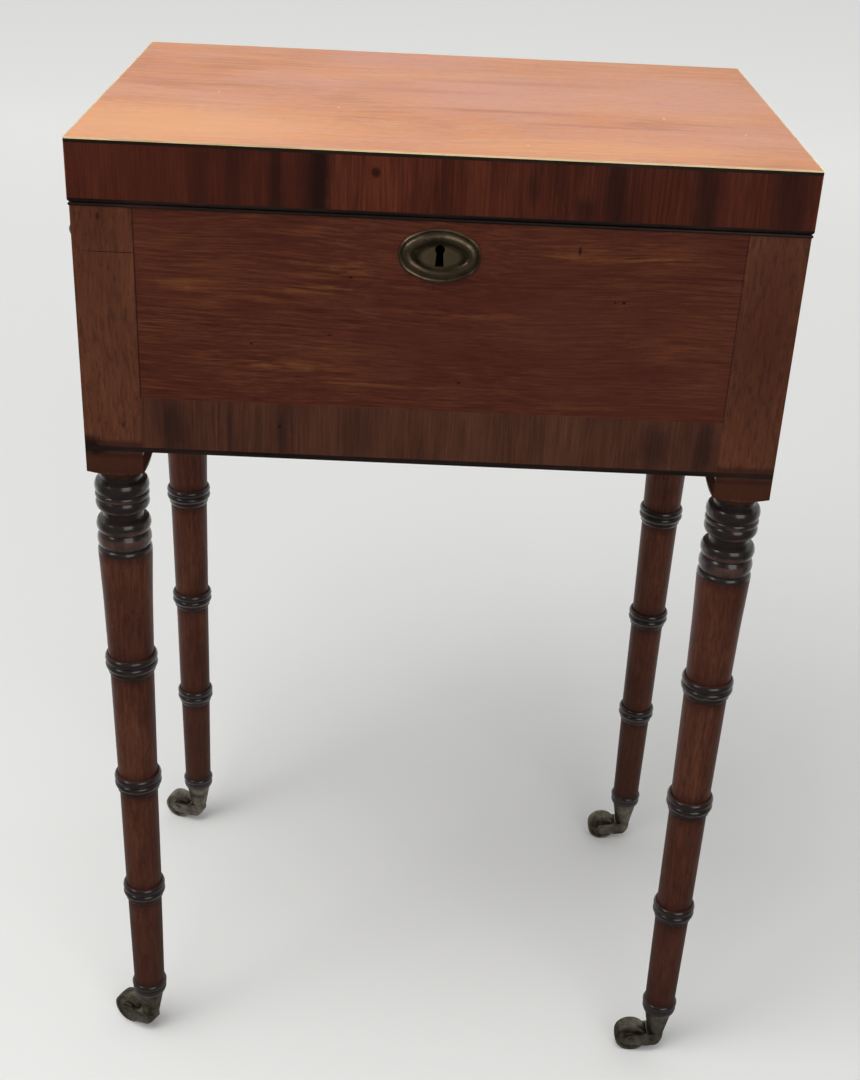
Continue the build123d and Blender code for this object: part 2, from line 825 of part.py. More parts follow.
def outward(profile, sx, sy, z):
    """A turning about the line out of the case's side through one handle post."""
    plane = Plane(
        origin=(sx * case_x, sy * handle_spacing / 2, z), x_dir=(0, 1, 0), z_dir=(sx, 0, 0)
    )
    return plane * turned(profile)


def rose(sx, sy):
    """The round brass rose under one handle post."""
    edge = rose_thickness * 0.45
    profile = Curve() + [
        Line((post_shank_radius, 0), (rose_radius, 0)),
        Line((rose_radius, 0), (rose_radius, edge)),
        ThreePointArc(
            (rose_radius, edge), (rose_radius * 0.8, rose_thickness * 0.8), (post_radius + 2, rose_thickness)
        ),
        Line((post_radius + 2, rose_thickness), (post_shank_radius, rose_thickness)),
        Line((post_shank_radius, rose_thickness), (post_shank_radius, 0)),
    ]
    return outward(profile, sx, sy, handle_z)


def post(sx, sy):
    """A handle post: a waisted stem and a ball drilled for the bail, with a threaded shank."""
    ball = pommel_ball_radius
    stem_wide = ball / 2
    stem_top = handle_reach - math.sqrt(ball**2 - stem_wide**2)
    waist = (post_radius * 0.8, (rose_thickness + stem_top) / 2)
    shank_end = wall - nut_recess() + nut_thickness
    profile = Curve() + [
        Line((0, -shank_end), (post_shank_radius, -shank_end)),
        Line((post_shank_radius, -shank_end), (post_shank_radius, rose_thickness)),
        Line((post_shank_radius, rose_thickness), (post_radius + 1.4, rose_thickness)),
        ThreePointArc((post_radius + 1.4, rose_thickness), waist, (stem_wide, stem_top)),
        ThreePointArc((stem_wide, stem_top), (ball, handle_reach), (0, handle_reach + ball)),
        Line((0, handle_reach + ball), (0, -shank_end)),
    ]
    piece = outward(profile, sx, sy, handle_z)
    bore = bail_end_radius + running_clearance
    spot = Pos(sx * handle_x, sy * handle_spacing / 2, handle_z)
    return piece - spot * Rot(90, 0, 0) * Cylinder(bore, 3 * ball)


def nut_recess():
    """Depth of the pocket that hides a nut in the inside of the board."""
    return nut_thickness + 0.2


def nut_pocket(sx, sy):
    y = sy * handle_spacing / 2
    half = nut_side / 2 + 0.3
    depth = nut_recess()
    return block(
        sx * inner_x, sx * (inner_x + depth), y - half, y + half, handle_z - half, handle_z + half
    )


def nut(sx, sy):
    y = sy * handle_spacing / 2
    half = nut_side / 2
    seat = inner_x + nut_recess()
    piece = block(
        sx * (seat - nut_thickness), sx * seat, y - half, y + half, handle_z - half, handle_z + half
    )
    return piece - shank_hole(sx, sy)


def shank_hole(sx, sy):
    spot = Pos(sx * (case_x - wall / 2), sy * handle_spacing / 2, handle_z)
    return spot * Rot(0, 90, 0) * Cylinder(post_shank_radius, wall * 2)


def bail(sx):
    """The hanging bail: it drops from the posts, swells out and turns into the hand bar."""
    bore = bail_end_radius + running_clearance
    flat = math.sqrt(pommel_ball_radius**2 - bore**2)
    start = handle_spacing / 2 - flat - bail_shoulder_gap
    turn = start - bail_bend - 2.0
    swell = turn + bail_flare
    low = handle_z - bail_drop
    x = sx * handle_x
    line = FilletPolyline(
        (x, -start, handle_z),
        (x, -turn, handle_z),
        (x, -swell, low),
        (x, swell, low),
        (x, turn, handle_z),
        (x, start, handle_z),
        radius=[bail_bend, bail_corner, bail_corner, bail_bend],
    )
    section = Plane(origin=(x, -start, handle_z), z_dir=(0, 1, 0)) * Circle(bail_radius)
    piece = sweep(section, path=line)
    for sy in (-1, 1):
        tip = handle_spacing / 2 + flat
        middle = sy * (start - 1 + tip) / 2
        length = tip - start + 1
        piece += Pos(x, middle, handle_z) * Rot(90, 0, 0) * Cylinder(bail_end_radius, length)
    return piece


# Fittings inside ----------------------------------------------------------------------------


def platform():
    """The board between the partitions, with a round hole for each mixing bowl."""
    x = well_x + housing_depth
    panel = block(-x, x, -inner_y, inner_y, platform_z, platform_top)
    for sy in (-1, 1):
        spot = Pos(0, sy * bowl_spacing / 2, platform_z + platform_thickness / 2)
        panel -= spot * Cylinder(bowl_hole_radius, platform_thickness * 2)
    return panel


def bowl(sy):
    """A glass mixing bowl that hangs in its hole by a collar under the rim."""
    side = bowl_hole_radius - bowl_side_gap
    collar = bowl_hole_radius + bowl_rim_out
    top = bowl_above
    hang = -platform_thickness
    mouth = side - bowl_wall
    stem = bowl_foot_radius - 2
    stem_z = hang - math.sqrt(side**2 - stem**2)
    low = stem_z - bowl_foot_height
    half = math.sqrt(0.5)
    profile = Curve() + [
        Line((0, low), (bowl_foot_radius, low)),
        Line((bowl_foot_radius, low), (stem, stem_z)),
        ThreePointArc((stem, stem_z), (side * half, hang - side * half), (side, hang)),
        Line((side, hang), (side, 0)),
        Line((side, 0), (collar, 0)),
        Line((collar, 0), (collar, bowl_collar)),
        Line((collar, bowl_collar), (side + 1, top)),
        Line((side + 1, top), (mouth, top)),
        Line((mouth, top), (mouth, hang)),
        ThreePointArc((mouth, hang), (mouth * half, hang - mouth * half), (0, hang - mouth)),
        Line((0, hang - mouth), (0, low)),
    ]
    return turned(profile, 0, sy * bowl_spacing / 2, platform_top)


def canister_middle(sx):
    return sx * (inner_x - fit_gap - canister_width / 2)


def canister(sx):
    """An open box of thin boards that stands in its well."""
    x = canister_middle(sx)
    half_x = canister_width / 2
    half_y = inner_y - fit_gap
    top = canister_top
    outside = block(x - half_x, x + half_x, -half_y, half_y, chest_z, top)
    w = canister_wall
    return outside - block(
        x - half_x + w, x + half_x - w, -half_y + w, half_y - w, chest_z + w, top
    )


def canister_lid(sx):
    """The canister's loose lid, with a lip that drops into the mouth."""
    x = canister_middle(sx)
    half_x = canister_width / 2
    half_y = inner_y - fit_gap
    top = canister_top
    inset = canister_wall + canister_lip_gap
    lid = block(x - half_x, x + half_x, -half_y, half_y, top, top + canister_lid_thickness)
    upper = lid.edges().group_by(Axis.Z)[-1]
    lid = chamfer(upper, 1.2)
    lid += block(
        x - half_x + inset,
        x + half_x - inset,
        -half_y + inset,
        half_y - inset,
        top - canister_lip,
        top + 1,
    )
    return lid - canister_knob(sx)


def canister_knob(sx):
    """A turned knob with a spigot glued into the lid."""
    foot = canister_lid_thickness - 3
    neck = canister_lid_thickness
    middle = neck + knob_height - knob_radius
    ball_foot = middle - math.sqrt(knob_radius**2 - (knob_neck_radius + 1) ** 2)
    flare = (knob_neck_radius + 0.4, (neck + ball_foot) / 2 + 0.3)
    profile = Curve() + [
        Line((0, foot), (knob_neck_radius, foot)),
        Line((knob_neck_radius, foot), (knob_neck_radius, neck)),
        Line((knob_neck_radius, neck), (knob_neck_radius + 2, neck)),
        ThreePointArc((knob_neck_radius + 2, neck), flare, (knob_neck_radius + 1, ball_foot)),
        ThreePointArc((knob_neck_radius + 1, ball_foot), (knob_radius, middle), (0, middle + knob_radius)),
        Line((0, middle + knob_radius), (0, foot)),
    ]
    return turned(profile, canister_middle(sx), 0, canister_top)


# Everything is put together here ------------------------------------------------------------

bead = rim_bead()
base = frame(case_x, case_y, case_z, case_z + base_line, veneer)
chest = chest_floor()
hinge_x = [-hinge_spacing / 2, hinge_spacing / 2]
case_pockets = [leaf_pocket(x, -1) for x in hinge_x]
lid_pockets = [leaf_pocket(x, 1) for x in hinge_x]
case_hinge_screws = [s for x in hinge_x for s in hinge_screws(x, -1)]
lid_hinge_screws = [s for x in hinge_x for s in hinge_screws(x, 1)]

front = carcass_board(rail_x, case_y, True)
side = carcass_board(rail_y, case_x, False)
boards = {
    "front": front,
    "back": mirror(front, Plane.XZ),
    "left": side,
    "right": mirror(side, Plane.YZ),
}
for name, piece in boards.items():
    sx = sides.get(name)
    piece = piece - rim_channel() - base - chest
    if name == "front":
        piece = piece - lock_envelope() - keyhole(-case_y - 1, -inner_y + 1)
        for fastener in lock_screws():
            piece -= fastener
    if name == "back":
        for cut in case_pockets + case_hinge_screws:
            piece -= cut
    if sx:
        for sy in (-1, 1):
            piece = piece - nut_pocket(sx, sy) - shank_hole(sx, sy)
    parts[f"{name}_board"] = piece

parts["bottom_board"] = chest
crossband_top = case_z + base_line + crossband_height
panels = strips(crossband_top, seam_z)
cuts = [rim_channel(), keyhole(-case_y - 1, -inner_y + 1)] + case_pockets
cuts += [shank_hole(sx, sy) for sx, sy in handle_spots()]
for i, panel in enumerate(panels):
    for cut in cuts:
        panel = panel - cut
    panels[i] = panel
parts["panel_veneers"] = joined(panels)
parts["rail_crossbands"] = joined(strips(case_z + base_line, crossband_top))
parts["base_stringing"] = base
for cut in case_pockets:
    bead -= cut
parts["rim_bead"] = bead

notches = list(boards.values()) + [base, rim_channel()]
horn = caster_horn()
wheel = caster_wheel()
for name, (sx, sy) in corners.items():
    place = caster_place(name, sx, sy)
    parts[f"leg_{name}"] = leg(sx, sy, notches)
    parts[f"caster_{name}_horn"] = place * horn
    parts[f"caster_{name}_wheel"] = place * wheel

parts["caster_cups"] = joined([caster_cup(sx * leg_x, sy * leg_y) for sx, sy in corners.values()])

# Lid: four rails, a top board on them, veneers, and the ebony line and bead
out_x = lid_width / 2 - veneer
out_y = lid_depth / 2 - veneer
rail_top = height - veneer - lid_board
lower_bead = lid_bead()
arris_z = height - boxwood_line
arris = frame(lid_width / 2, lid_depth / 2, arris_z, height, boxwood_line)
edge_line = frame(lid_width / 2, lid_depth / 2, arris_z - ebony_line, arris_z, veneer)
rails = {
    "front": block(-out_x, out_x, -out_y, -out_y + board, seam_z, rail_top),
    "back": block(-out_x, out_x, out_y - board, out_y, seam_z, rail_top),
    "left": block(-out_x, -out_x + board, -out_y + board, out_y - board, seam_z, rail_top),
    "right": block(out_x - board, out_x, -out_y + board, out_y - board, seam_z, rail_top),
}
plate_pocket = link_plate()
for name, piece in rails.items():
    piece = piece - lid_channel()
    if name == "front":
        piece = piece - plate_pocket
        for fastener in link_screws():
            piece -= fastener
    if name == "back":
        for cut in lid_pockets + lid_hinge_screws:
            piece -= cut
    parts[f"lid_{name}_rail"] = piece
parts["lid_top_board"] = block(-out_x, out_x, -out_y, out_y, rail_top, height - veneer)
top_x = lid_width / 2 - boxwood_line
top_y = lid_depth / 2 - boxwood_line
parts["lid_top_veneer"] = block(-top_x, top_x, -top_y, top_y, height - veneer, height) - edge_line
parts["lid_boxwood_stringing"] = arris
parts["lid_ebony_stringing"] = edge_line
banding = lid_strips()
for i, strip in enumerate(banding):
    for cut in lid_pockets:
        strip = strip - cut
    banding[i] = strip
parts["lid_crossbands"] = joined(banding)
for cut in lid_pockets:
    lower_bead -= cut
parts["lid_base_bead"] = lower_bead

# Ironmongery
parts["hinge_leaves_case"] = joined([hinge_leaf(x, -1, 0) for x in hinge_x])
parts["hinge_leaves_lid"] = joined([hinge_leaf(x, 1, 1) for x in hinge_x])
parts["hinge_pins"] = joined(
    [
        Pos(x, hinge_y, seam_z) * Rot(0, 90, 0) * Cylinder(hinge_pin_radius, leaf_length)
        for x in hinge_x
    ]
)
parts["case_screws"] = joined(case_hinge_screws + lock_screws())
parts["lid_screws"] = joined(lid_hinge_screws + link_screws())
parts["lock_case"] = lock_case()
parts["lock_bolt"] = lock_bolt()
parts["link_plate"] = link_plate()
parts["escutcheon"] = escutcheon()
parts["handle_roses"] = joined([rose(sx, sy) for sx, sy in handle_spots()])
parts["handle_posts"] = joined([post(sx, sy) for sx, sy in handle_spots()])
parts["handle_nuts"] = joined([nut(sx, sy) for sx, sy in handle_spots()])

# Fittings
stage = platform()
parts["bowl_platform"] = stage
walls = [
    block(sx * well_x, sx * partition_x, -inner_y, inner_y, chest_z, platform_top) - stage
    for sx in (-1, 1)
]
parts["partitions"] = joined(walls)
for name, sy in ends.items():
    parts[f"bowl_{name}"] = bowl(sy)
for name, sx in sides.items():
    parts[f"bail_{name}"] = bail(sx)
    parts[f"canister_{name}"] = canister(sx)
    parts[f"canister_lid_{name}"] = joined([canister_lid(sx), canister_knob(sx)])

for name, piece in parts.items():
    export_step(piece, f"parts/{name}.step")
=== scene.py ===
import math
import bpy
from mathutils import Euler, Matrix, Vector


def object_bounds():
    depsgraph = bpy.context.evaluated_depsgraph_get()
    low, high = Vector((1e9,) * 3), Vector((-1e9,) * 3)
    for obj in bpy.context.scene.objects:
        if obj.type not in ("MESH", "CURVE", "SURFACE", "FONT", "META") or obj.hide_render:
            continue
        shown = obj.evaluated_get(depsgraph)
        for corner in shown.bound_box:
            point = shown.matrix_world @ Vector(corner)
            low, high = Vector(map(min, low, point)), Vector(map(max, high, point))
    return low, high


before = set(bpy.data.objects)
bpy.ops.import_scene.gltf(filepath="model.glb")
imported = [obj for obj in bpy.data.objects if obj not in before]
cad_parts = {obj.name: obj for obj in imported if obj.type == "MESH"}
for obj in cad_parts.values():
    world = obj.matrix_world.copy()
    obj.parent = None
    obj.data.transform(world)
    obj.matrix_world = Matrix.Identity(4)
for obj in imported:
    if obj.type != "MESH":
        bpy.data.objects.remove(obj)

print("frame loaded:", len(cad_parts), "nodes")
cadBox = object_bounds()


# ---- small helpers -------------------------------------------------------------------------

def put(tree, kind, x, y, **settings):
    # a node at a place in the editor, with its plain settings and its input values
    node = tree.nodes.new(kind)
    node.location = (x, y)
    for name, value in settings.items():
        if name.startswith("in_"):
            key = name[3:]
            node.inputs[int(key) if key.isdigit() else key].default_value = value
        else:
            setattr(node, name, value)
    return node


def give(tree, value, socket):
    # links an output to the input socket, or sets the input to a plain value
    if isinstance(value, bpy.types.NodeSocket):
        tree.links.new(value, socket)
    elif value is not None:
        socket.default_value = value


def feed(tree, node, *values):
    # gives a node its inputs in order, leaving alone those that are None
    for socket, value in zip(node.inputs, values):
        give(tree, value, socket)


def calc(tree, operation, x, y, *values, clamp=False):
    # a number worked out from outputs or plain numbers
    node = put(tree, "ShaderNodeMath", x, y, operation=operation, use_clamp=clamp)
    feed(tree, node, *values)
    return node.outputs[0]


def calcVector(tree, operation, x, y, *values):
    # the same for vectors; a scale is the fourth value
    node = put(tree, "ShaderNodeVectorMath", x, y, operation=operation)
    feed(tree, node, *values)
    return node.outputs["Value" if operation == "LENGTH" else "Vector"]


def remap(tree, x, y, value, *ends, **settings):
    # moves a number between ranges: from low, from high, to low, to high
    node = put(tree, "ShaderNodeMapRange", x, y, **settings)
    feed(tree, node, value, *ends)
    return node.outputs[0]


# the two inputs and the output of a mix node for each kind of value
mixSockets = {"FLOAT": (2, 3, 0), "VECTOR": (4, 5, 1), "RGBA": (6, 7, 2)}


def mixed(tree, kind, x, y, share, first, second):
    node = put(tree, "ShaderNodeMix", x, y, data_type=kind)
    firstIn, secondIn, result = mixSockets[kind]
    for index, value in ((0, share), (firstIn, first), (secondIn, second)):
        give(tree, value, node.inputs[index])
    return node.outputs[result]


def noiseAt(tree, x, y, vector, scale, detail, roughness=0.5, distortion=0.0):
    node = put(tree, "ShaderNodeTexNoise", x, y, in_Detail=detail, in_Roughness=roughness,
               in_Distortion=distortion)
    give(tree, vector, node.inputs["Vector"])
    give(tree, scale, node.inputs["Scale"])
    return node.outputs


def axesOf(tree, x, y, vector):
    node = put(tree, "ShaderNodeSeparateXYZ", x, y)
    feed(tree, node, vector)
    return node.outputs


def mapped(tree, x, y, vector, shift, turn, scale=None):
    node = put(tree, "ShaderNodeMapping", x, y)
    feed(tree, node, vector, shift, turn, scale)
    return node.outputs[0]


def stretchedAlongX(tree, x, y, vector, share):
    # drawn out along X by a share below 1
    along = put(tree, "ShaderNodeCombineXYZ", x - 200, y - 100, in_1=1.0, in_2=1.0)
    feed(tree, along, share)
    return calcVector(tree, "MULTIPLY", x, y, vector, along.outputs[0])


def newGroup(name, inputs, outputs):
    # a shader node group with typed, named sockets; gives its tree, its inputs and its end
    tree = bpy.data.node_groups.new(name, "ShaderNodeTree")
    for label, kind, value in inputs:
        socket = tree.interface.new_socket(label, in_out="INPUT", socket_type="NodeSocket" + kind)
        if value is not None:
            socket.default_value = value
    for label, kind in outputs:
        tree.interface.new_socket(label, in_out="OUTPUT", socket_type="NodeSocket" + kind)
    start = put(tree, "NodeGroupInput", -1400, 0)
    end = put(tree, "NodeGroupOutput", 900, 0)
    return tree, start.outputs, end


def useGroup(tree, group, x, y, vector, **values):
    # a group fed by a vector, with the values of its other inputs
    node = put(tree, "ShaderNodeGroup", x, y)
    node.node_tree = group
    give(tree, vector, node.inputs["Vector"])
    for name, value in values.items():
        node.inputs[name.replace("_", " ")].default_value = value
    return node.outputs


def newMaterial(name):
    # a bare material; gives its tree, its shader and the object's own coordinates too
    material = bpy.data.materials.new(name)
    material.use_nodes = True
    tree = material.node_tree
    tree.nodes.clear()
    shader = put(tree, "ShaderNodeBsdfPrincipled", 500, 0)
    output = put(tree, "ShaderNodeOutputMaterial", 800, 0)
    give(tree, shader.outputs["BSDF"], output.inputs["Surface"])
    coords = put(tree, "ShaderNodeTexCoord", -1500, 0)
    return material, tree, shader, coords.outputs["Object"]


def dress(material, *names):
    for name in names:
        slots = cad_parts[name].data.materials
        slots.clear()
        slots.append(material)


def rgb(red, green, blue):
    # a colour written as it is seen, 0 to 255, made linear for the shaders
    def linear(value):
        value = value / 255
        return value / 12.92 if value <= 0.04045 else ((value + 0.055) / 1.055) ** 2.4
    return (linear(red), linear(green), linear(blue), 1.0)


# the faces that most spots lie on, in metres
lidTop, lidFront, caseFront = 0.744, -0.159, -0.158
plateFront, boardMiddle = -0.160, -0.150
lidHalfWidth, lidHalfDepth = 0.230, 0.159


def onTop(rows, reach=0.05):
    # spots on the lid's top: x, y, half width, half depth and strength of each
    return [((x, y, lidTop), (wide, deep, reach), amount) for x, y, wide, deep, amount in rows]


def onFront(front, rows, reach=0.02):
    # spots on an upright front: x, z, half width, half height and strength of each, and its
    # own reach behind the front where it has one
    return [((x, front, z), (wide, own[0] if own else reach, high), amount)
            for x, z, wide, high, amount, *own in rows]


# ---- shared node groups --------------------------------------------------------------------

def makeGrainGroup():
    # wood with its grain along X: broad figure, long streaks, fibres and dark pores
    tree, given, end = newGroup(
        "woodGrain",
        [("Vector", "Vector", None), ("Dark", "Color", (0.05, 0.02, 0.01, 1)),
         ("Middle", "Color", (0.12, 0.05, 0.03, 1)), ("Light", "Color", (0.2, 0.09, 0.05, 1)),
         ("Figure Scale", "Float", 14.0), ("Stretch", "Float", 0.25),
         ("Streak Scale", "Float", 300.0), ("Streak Share", "Float", 0.5),
         ("Spread", "Float", 0.12), ("Fibre Scale", "Float", 1200.0),
         ("Fibre Depth", "Float", 0.35), ("Pore Depth", "Float", 0.5), ("Wave", "Float", 0.02)],
        [("Color", "Color"), ("Height", "Float"), ("Figure", "Float")])
    bendScale, poreScale = 3.5, 900.0
    streakLength, fibreLength, poreLength = 0.12, 0.15, 0.4
    fibreRange, poreRange = (0.3, 0.7), (0.08, 0.22)
    bend = noiseAt(tree, -1200, -150, given["Vector"], bendScale, 2.0)
    centred = calcVector(tree, "SUBTRACT", -1020, -150, bend["Color"], (0.5, 0.5, 0.5))
    wave = calcVector(tree, "SCALE", -860, -150, centred, None, None, given["Wave"])
    bent = calcVector(tree, "ADD", -860, 50, given["Vector"], wave)
    grain = stretchedAlongX(tree, -680, 100, bent, given["Stretch"])

    def alongGrain(length, x, y):
        # the grain's own space, drawn out further along it
        return calcVector(tree, "MULTIPLY", x, y, grain, (length, 1.0, 1.0))

    figure = noiseAt(tree, -460, 400, grain, given["Figure Scale"], 3.0, 0.55, 0.3)
    streak = noiseAt(tree, -460, 180, alongGrain(streakLength, -640, 180),
                     given["Streak Scale"], 4.0, 0.6)
    fibre = noiseAt(tree, -460, -60, alongGrain(fibreLength, -640, -60),
                    given["Fibre Scale"], 3.0, 0.6)
    blend = mixed(tree, "FLOAT", -260, 300, given["Streak Share"], figure["Fac"], streak["Fac"])
    lowEdge = calc(tree, "SUBTRACT", -260, 120, 0.5, given["Spread"])
    highEdge = calc(tree, "ADD", -260, 0, 0.5, given["Spread"])
    dark = remap(tree, -80, 420, blend, lowEdge, 0.5)
    light = remap(tree, -80, 200, blend, 0.5, highEdge)
    low = mixed(tree, "RGBA", 120, 420, dark, given["Dark"], given["Middle"])
    high = mixed(tree, "RGBA", 300, 340, light, low, given["Light"])
    fibreShade = remap(tree, -80, -60, fibre["Fac"], *fibreRange)
    fibreFloor = calc(tree, "SUBTRACT", -80, -260, 1.0, given["Fibre Depth"])
    fibreAmount = calc(tree, "MULTIPLY_ADD", 120, -60, fibreShade, given["Fibre Depth"],
                       fibreFloor)
    pores = put(tree, "ShaderNodeTexVoronoi", -280, -420, in_Scale=poreScale)
    give(tree, alongGrain(poreLength, -460, -420), pores.inputs["Vector"])
    poreMask = remap(tree, -80, -420, pores.outputs["Distance"], *poreRange)
    poreFloor = calc(tree, "SUBTRACT", -80, -620, 1.0, given["Pore Depth"])
    poreAmount = remap(tree, 120, -420, poreMask, None, None, poreFloor)
    shade = calc(tree, "MULTIPLY", 320, -160, fibreAmount, poreAmount)
    shaded = calcVector(tree, "SCALE", 560, 200, high, None, None, shade)
    feed(tree, end, shaded, shade, blend)
    return tree


def makeSpotGroup():
    # a soft spot at a place, of a size along each axis: 1 inside, 0 outside
    tree, given, end = newGroup(
        "softSpot",
        [("Vector", "Vector", None), ("Place", "Vector", (0, 0, 0)),
         ("Size", "Vector", (1, 1, 1)), ("Soft", "Float", 0.5), ("Rough Edge", "Float", 0.0)],
        [("Mask", "Float")])
    raggedScale = 140.0
    away = calcVector(tree, "SUBTRACT", -1100, 100, given["Vector"], given["Place"])
    scaled = calcVector(tree, "DIVIDE", -900, 100, away, given["Size"])
    length = calcVector(tree, "LENGTH", -700, 100, scaled)
    noise = noiseAt(tree, -700, -100, given["Vector"], raggedScale, 3.0)
    shift = calc(tree, "SUBTRACT", -500, -100, noise["Fac"], 0.5)
    ragged = calc(tree, "MULTIPLY_ADD", -320, -60, shift, given["Rough Edge"], length)
    inner = calc(tree, "SUBTRACT", -320, -260, 1.0, given["Soft"])
    mask = remap(tree, -80, 40, ragged, inner, 1.0, 1.0, 0.0, interpolation_type="SMOOTHSTEP")
    feed(tree, end, mask)
    return tree


def makeEdgeGroup():
    # how near a point on a box is to the box's edges, broken up by noise; it marks worn edges
    # that are also painted highlights on the arrises
    tree, given, end = newGroup(
        "edgeWearAndHighlight",
        [("Vector", "Vector", None), ("Low", "Vector", (0, 0, 0)), ("High", "Vector", (1, 1, 1)),
         ("Width", "Float", 0.002), ("Amount", "Float", 1.0)],
        [("Mask", "Float")])
    wearScale, wearRange = 60.0, (0.35, 0.75)
    below = calcVector(tree, "SUBTRACT", -1100, 200, given["Vector"], given["Low"])
    above = calcVector(tree, "SUBTRACT", -1100, 0, given["High"], given["Vector"])
    near = axesOf(tree, -720, 100, calcVector(tree, "MINIMUM", -900, 100, below, above))
    smaller = calc(tree, "MINIMUM", -520, 200, near["X"], near["Y"])
    larger = calc(tree, "MAXIMUM", -520, 40, near["X"], near["Y"])
    withZ = calc(tree, "MINIMUM", -340, 0, larger, near["Z"])
    second = calc(tree, "MAXIMUM", -160, 120, smaller, withZ)
    noise = noiseAt(tree, -520, -260, given["Vector"], wearScale, 5.0, 0.65)
    reach = remap(tree, -340, -260, noise["Fac"], *wearRange, 0.0, given["Width"])
    mask = remap(tree, 40, 40, second, 0.0, reach, 1.0, 0.0, interpolation_type="SMOOTHSTEP")
    feed(tree, end, calc(tree, "MULTIPLY", 240, 40, mask, given["Amount"]))
    return tree


def makePolishGroup():
    # french polish: roughness that changes with rubbing, dust and fine scratches, and a
    # height for the bump
    tree, given, end = newGroup(
        "oldPolish",
        [("Vector", "Vector", None), ("Roughness", "Float", 0.3), ("Patches", "Float", 0.15),
         ("Scratches", "Float", 0.1)],
        [("Roughness", "Float"), ("Height", "Float")])
    patchScale, scratchTurn, scratchScale = 9.0, (0.2, 0.1, 0.5), (6.0, 300.0, 300.0)
    scratchRange, scratchDepth = (0.66, 0.74), -0.4
    patch = noiseAt(tree, -1000, 200, given["Vector"], patchScale, 5.0, 0.6)
    patchMid = calc(tree, "SUBTRACT", -800, 200, patch["Fac"], 0.5)
    patchAmount = calc(tree, "MULTIPLY_ADD", -620, 200, patchMid, given["Patches"],
                       given["Roughness"])
    turned = mapped(tree, -1000, -100, given["Vector"], None, scratchTurn, scratchScale)
    scratch = noiseAt(tree, -800, -100, turned, 1.0, 2.0)
    thin = remap(tree, -620, -100, scratch["Fac"], *scratchRange)
    roughness = calc(tree, "MULTIPLY_ADD", -420, -60, thin, given["Scratches"], patchAmount)
    height = calc(tree, "MULTIPLY_ADD", -420, -300, thin, scratchDepth, patch["Fac"])
    feed(tree, end, roughness, height)
    return tree


def makeBandGroup():
    # 1 between two heights, with a soft and slightly uneven border
    tree, given, end = newGroup(
        "heightBand",
        [("Vector", "Vector", None), ("Low", "Float", 0.0), ("High", "Float", 1.0),
         ("Soft", "Float", 0.0006), ("Uneven", "Float", 0.0006)],
        [("Mask", "Float")])
    unevenScale = 180.0
    axes = axesOf(tree, -1100, 100, given["Vector"])
    noise = noiseAt(tree, -1100, -120, given["Vector"], unevenScale, 2.0)
    middle = calc(tree, "SUBTRACT", -920, -120, noise["Fac"], 0.5)
    height = calc(tree, "MULTIPLY_ADD", -740, 60, middle, given["Uneven"], axes["Z"])
    rise = calc(tree, "SUBTRACT", -520, 160, height, given["Low"])
    fall = calc(tree, "SUBTRACT", -520, -20, given["High"], height)
    inside = calc(tree, "MINIMUM", -340, 80, rise, fall)
    feed(tree, end, calc(tree, "DIVIDE", -160, 80, inside, given["Soft"], clamp=True))
    return tree


def makeCloudGroup():
    # soft clouds of noise: 1 inside, 0 outside, drawn out along X by Stretch below 1
    tree, given, end = newGroup(
        "cloudMask",
        [("Vector", "Vector", None), ("Scale", "Float", 20.0), ("Stretch", "Float", 1.0),
         ("Low", "Float", 0.45), ("High", "Float", 0.65)],
        [("Mask", "Float")])
    scaled = stretchedAlongX(tree, -700, 0, given["Vector"], given["Stretch"])
    noise = noiseAt(tree, -500, 0, scaled, given["Scale"], 5.0, 0.62)
    feed(tree, end, remap(tree, -200, 0, noise["Fac"], given["Low"], given["High"]))
    return tree


grainGroup = makeGrainGroup()
cloudGroup = makeCloudGroup()
spotGroup = makeSpotGroup()
edgeGroup = makeEdgeGroup()
polishGroup = makePolishGroup()
bandGroup = makeBandGroup()
print("node groups ready")


def mixIn(tree, color, mask, tint, x, y, amount=1.0):
    # lays a plain tint over a colour where the mask is
    if amount != 1.0:
        mask = calc(tree, "MULTIPLY", x - 160, y - 60, mask, amount)
    return mixed(tree, "RGBA", x, y, mask, color, tint)


def cloud(tree, place, y, scale, low, high, stretch=1.0):
    return useGroup(tree, cloudGroup, -700, y, place, Scale=scale, Low=low, High=high,
                    Stretch=stretch)["Mask"]


def cloudsIn(tree, place, color, tint, y, amount, **settings):
    # clouds of one tint, with the cloud's own settings
    return mixIn(tree, color, cloud(tree, place, y, **settings), tint, -420, y, amount)


def spotsIn(tree, place, color, spots, tint, y, soft=0.9, ragged=0.6, lines=None):
    # several soft spots of one tint, each with its place, size and strength, seen only on the
    # light lines of the grain where lines gives its figure
    lightRange = (0.44, 0.56)
    if lines:
        lines = remap(tree, -1100, y, lines, *lightRange)
    for i, (middle, size, amount) in enumerate(spots):
        row = y - 160 * i
        mask = useGroup(tree, spotGroup, -700, row, place, Place=middle, Size=size, Soft=soft,
                        Rough_Edge=ragged)["Mask"]
        if lines:
            mask = calc(tree, "MULTIPLY", -560, row, mask, lines)
        color = mixIn(tree, color, mask, tint, -420, row, amount)
    return color


def bumpOn(tree, shader, height, strength, distance):
    bump = put(tree, "ShaderNodeBump", 300, -300, in_Strength=strength, in_Distance=distance)
    give(tree, height, bump.inputs["Height"])
    give(tree, bump.outputs["Normal"], shader.inputs["Normal"])


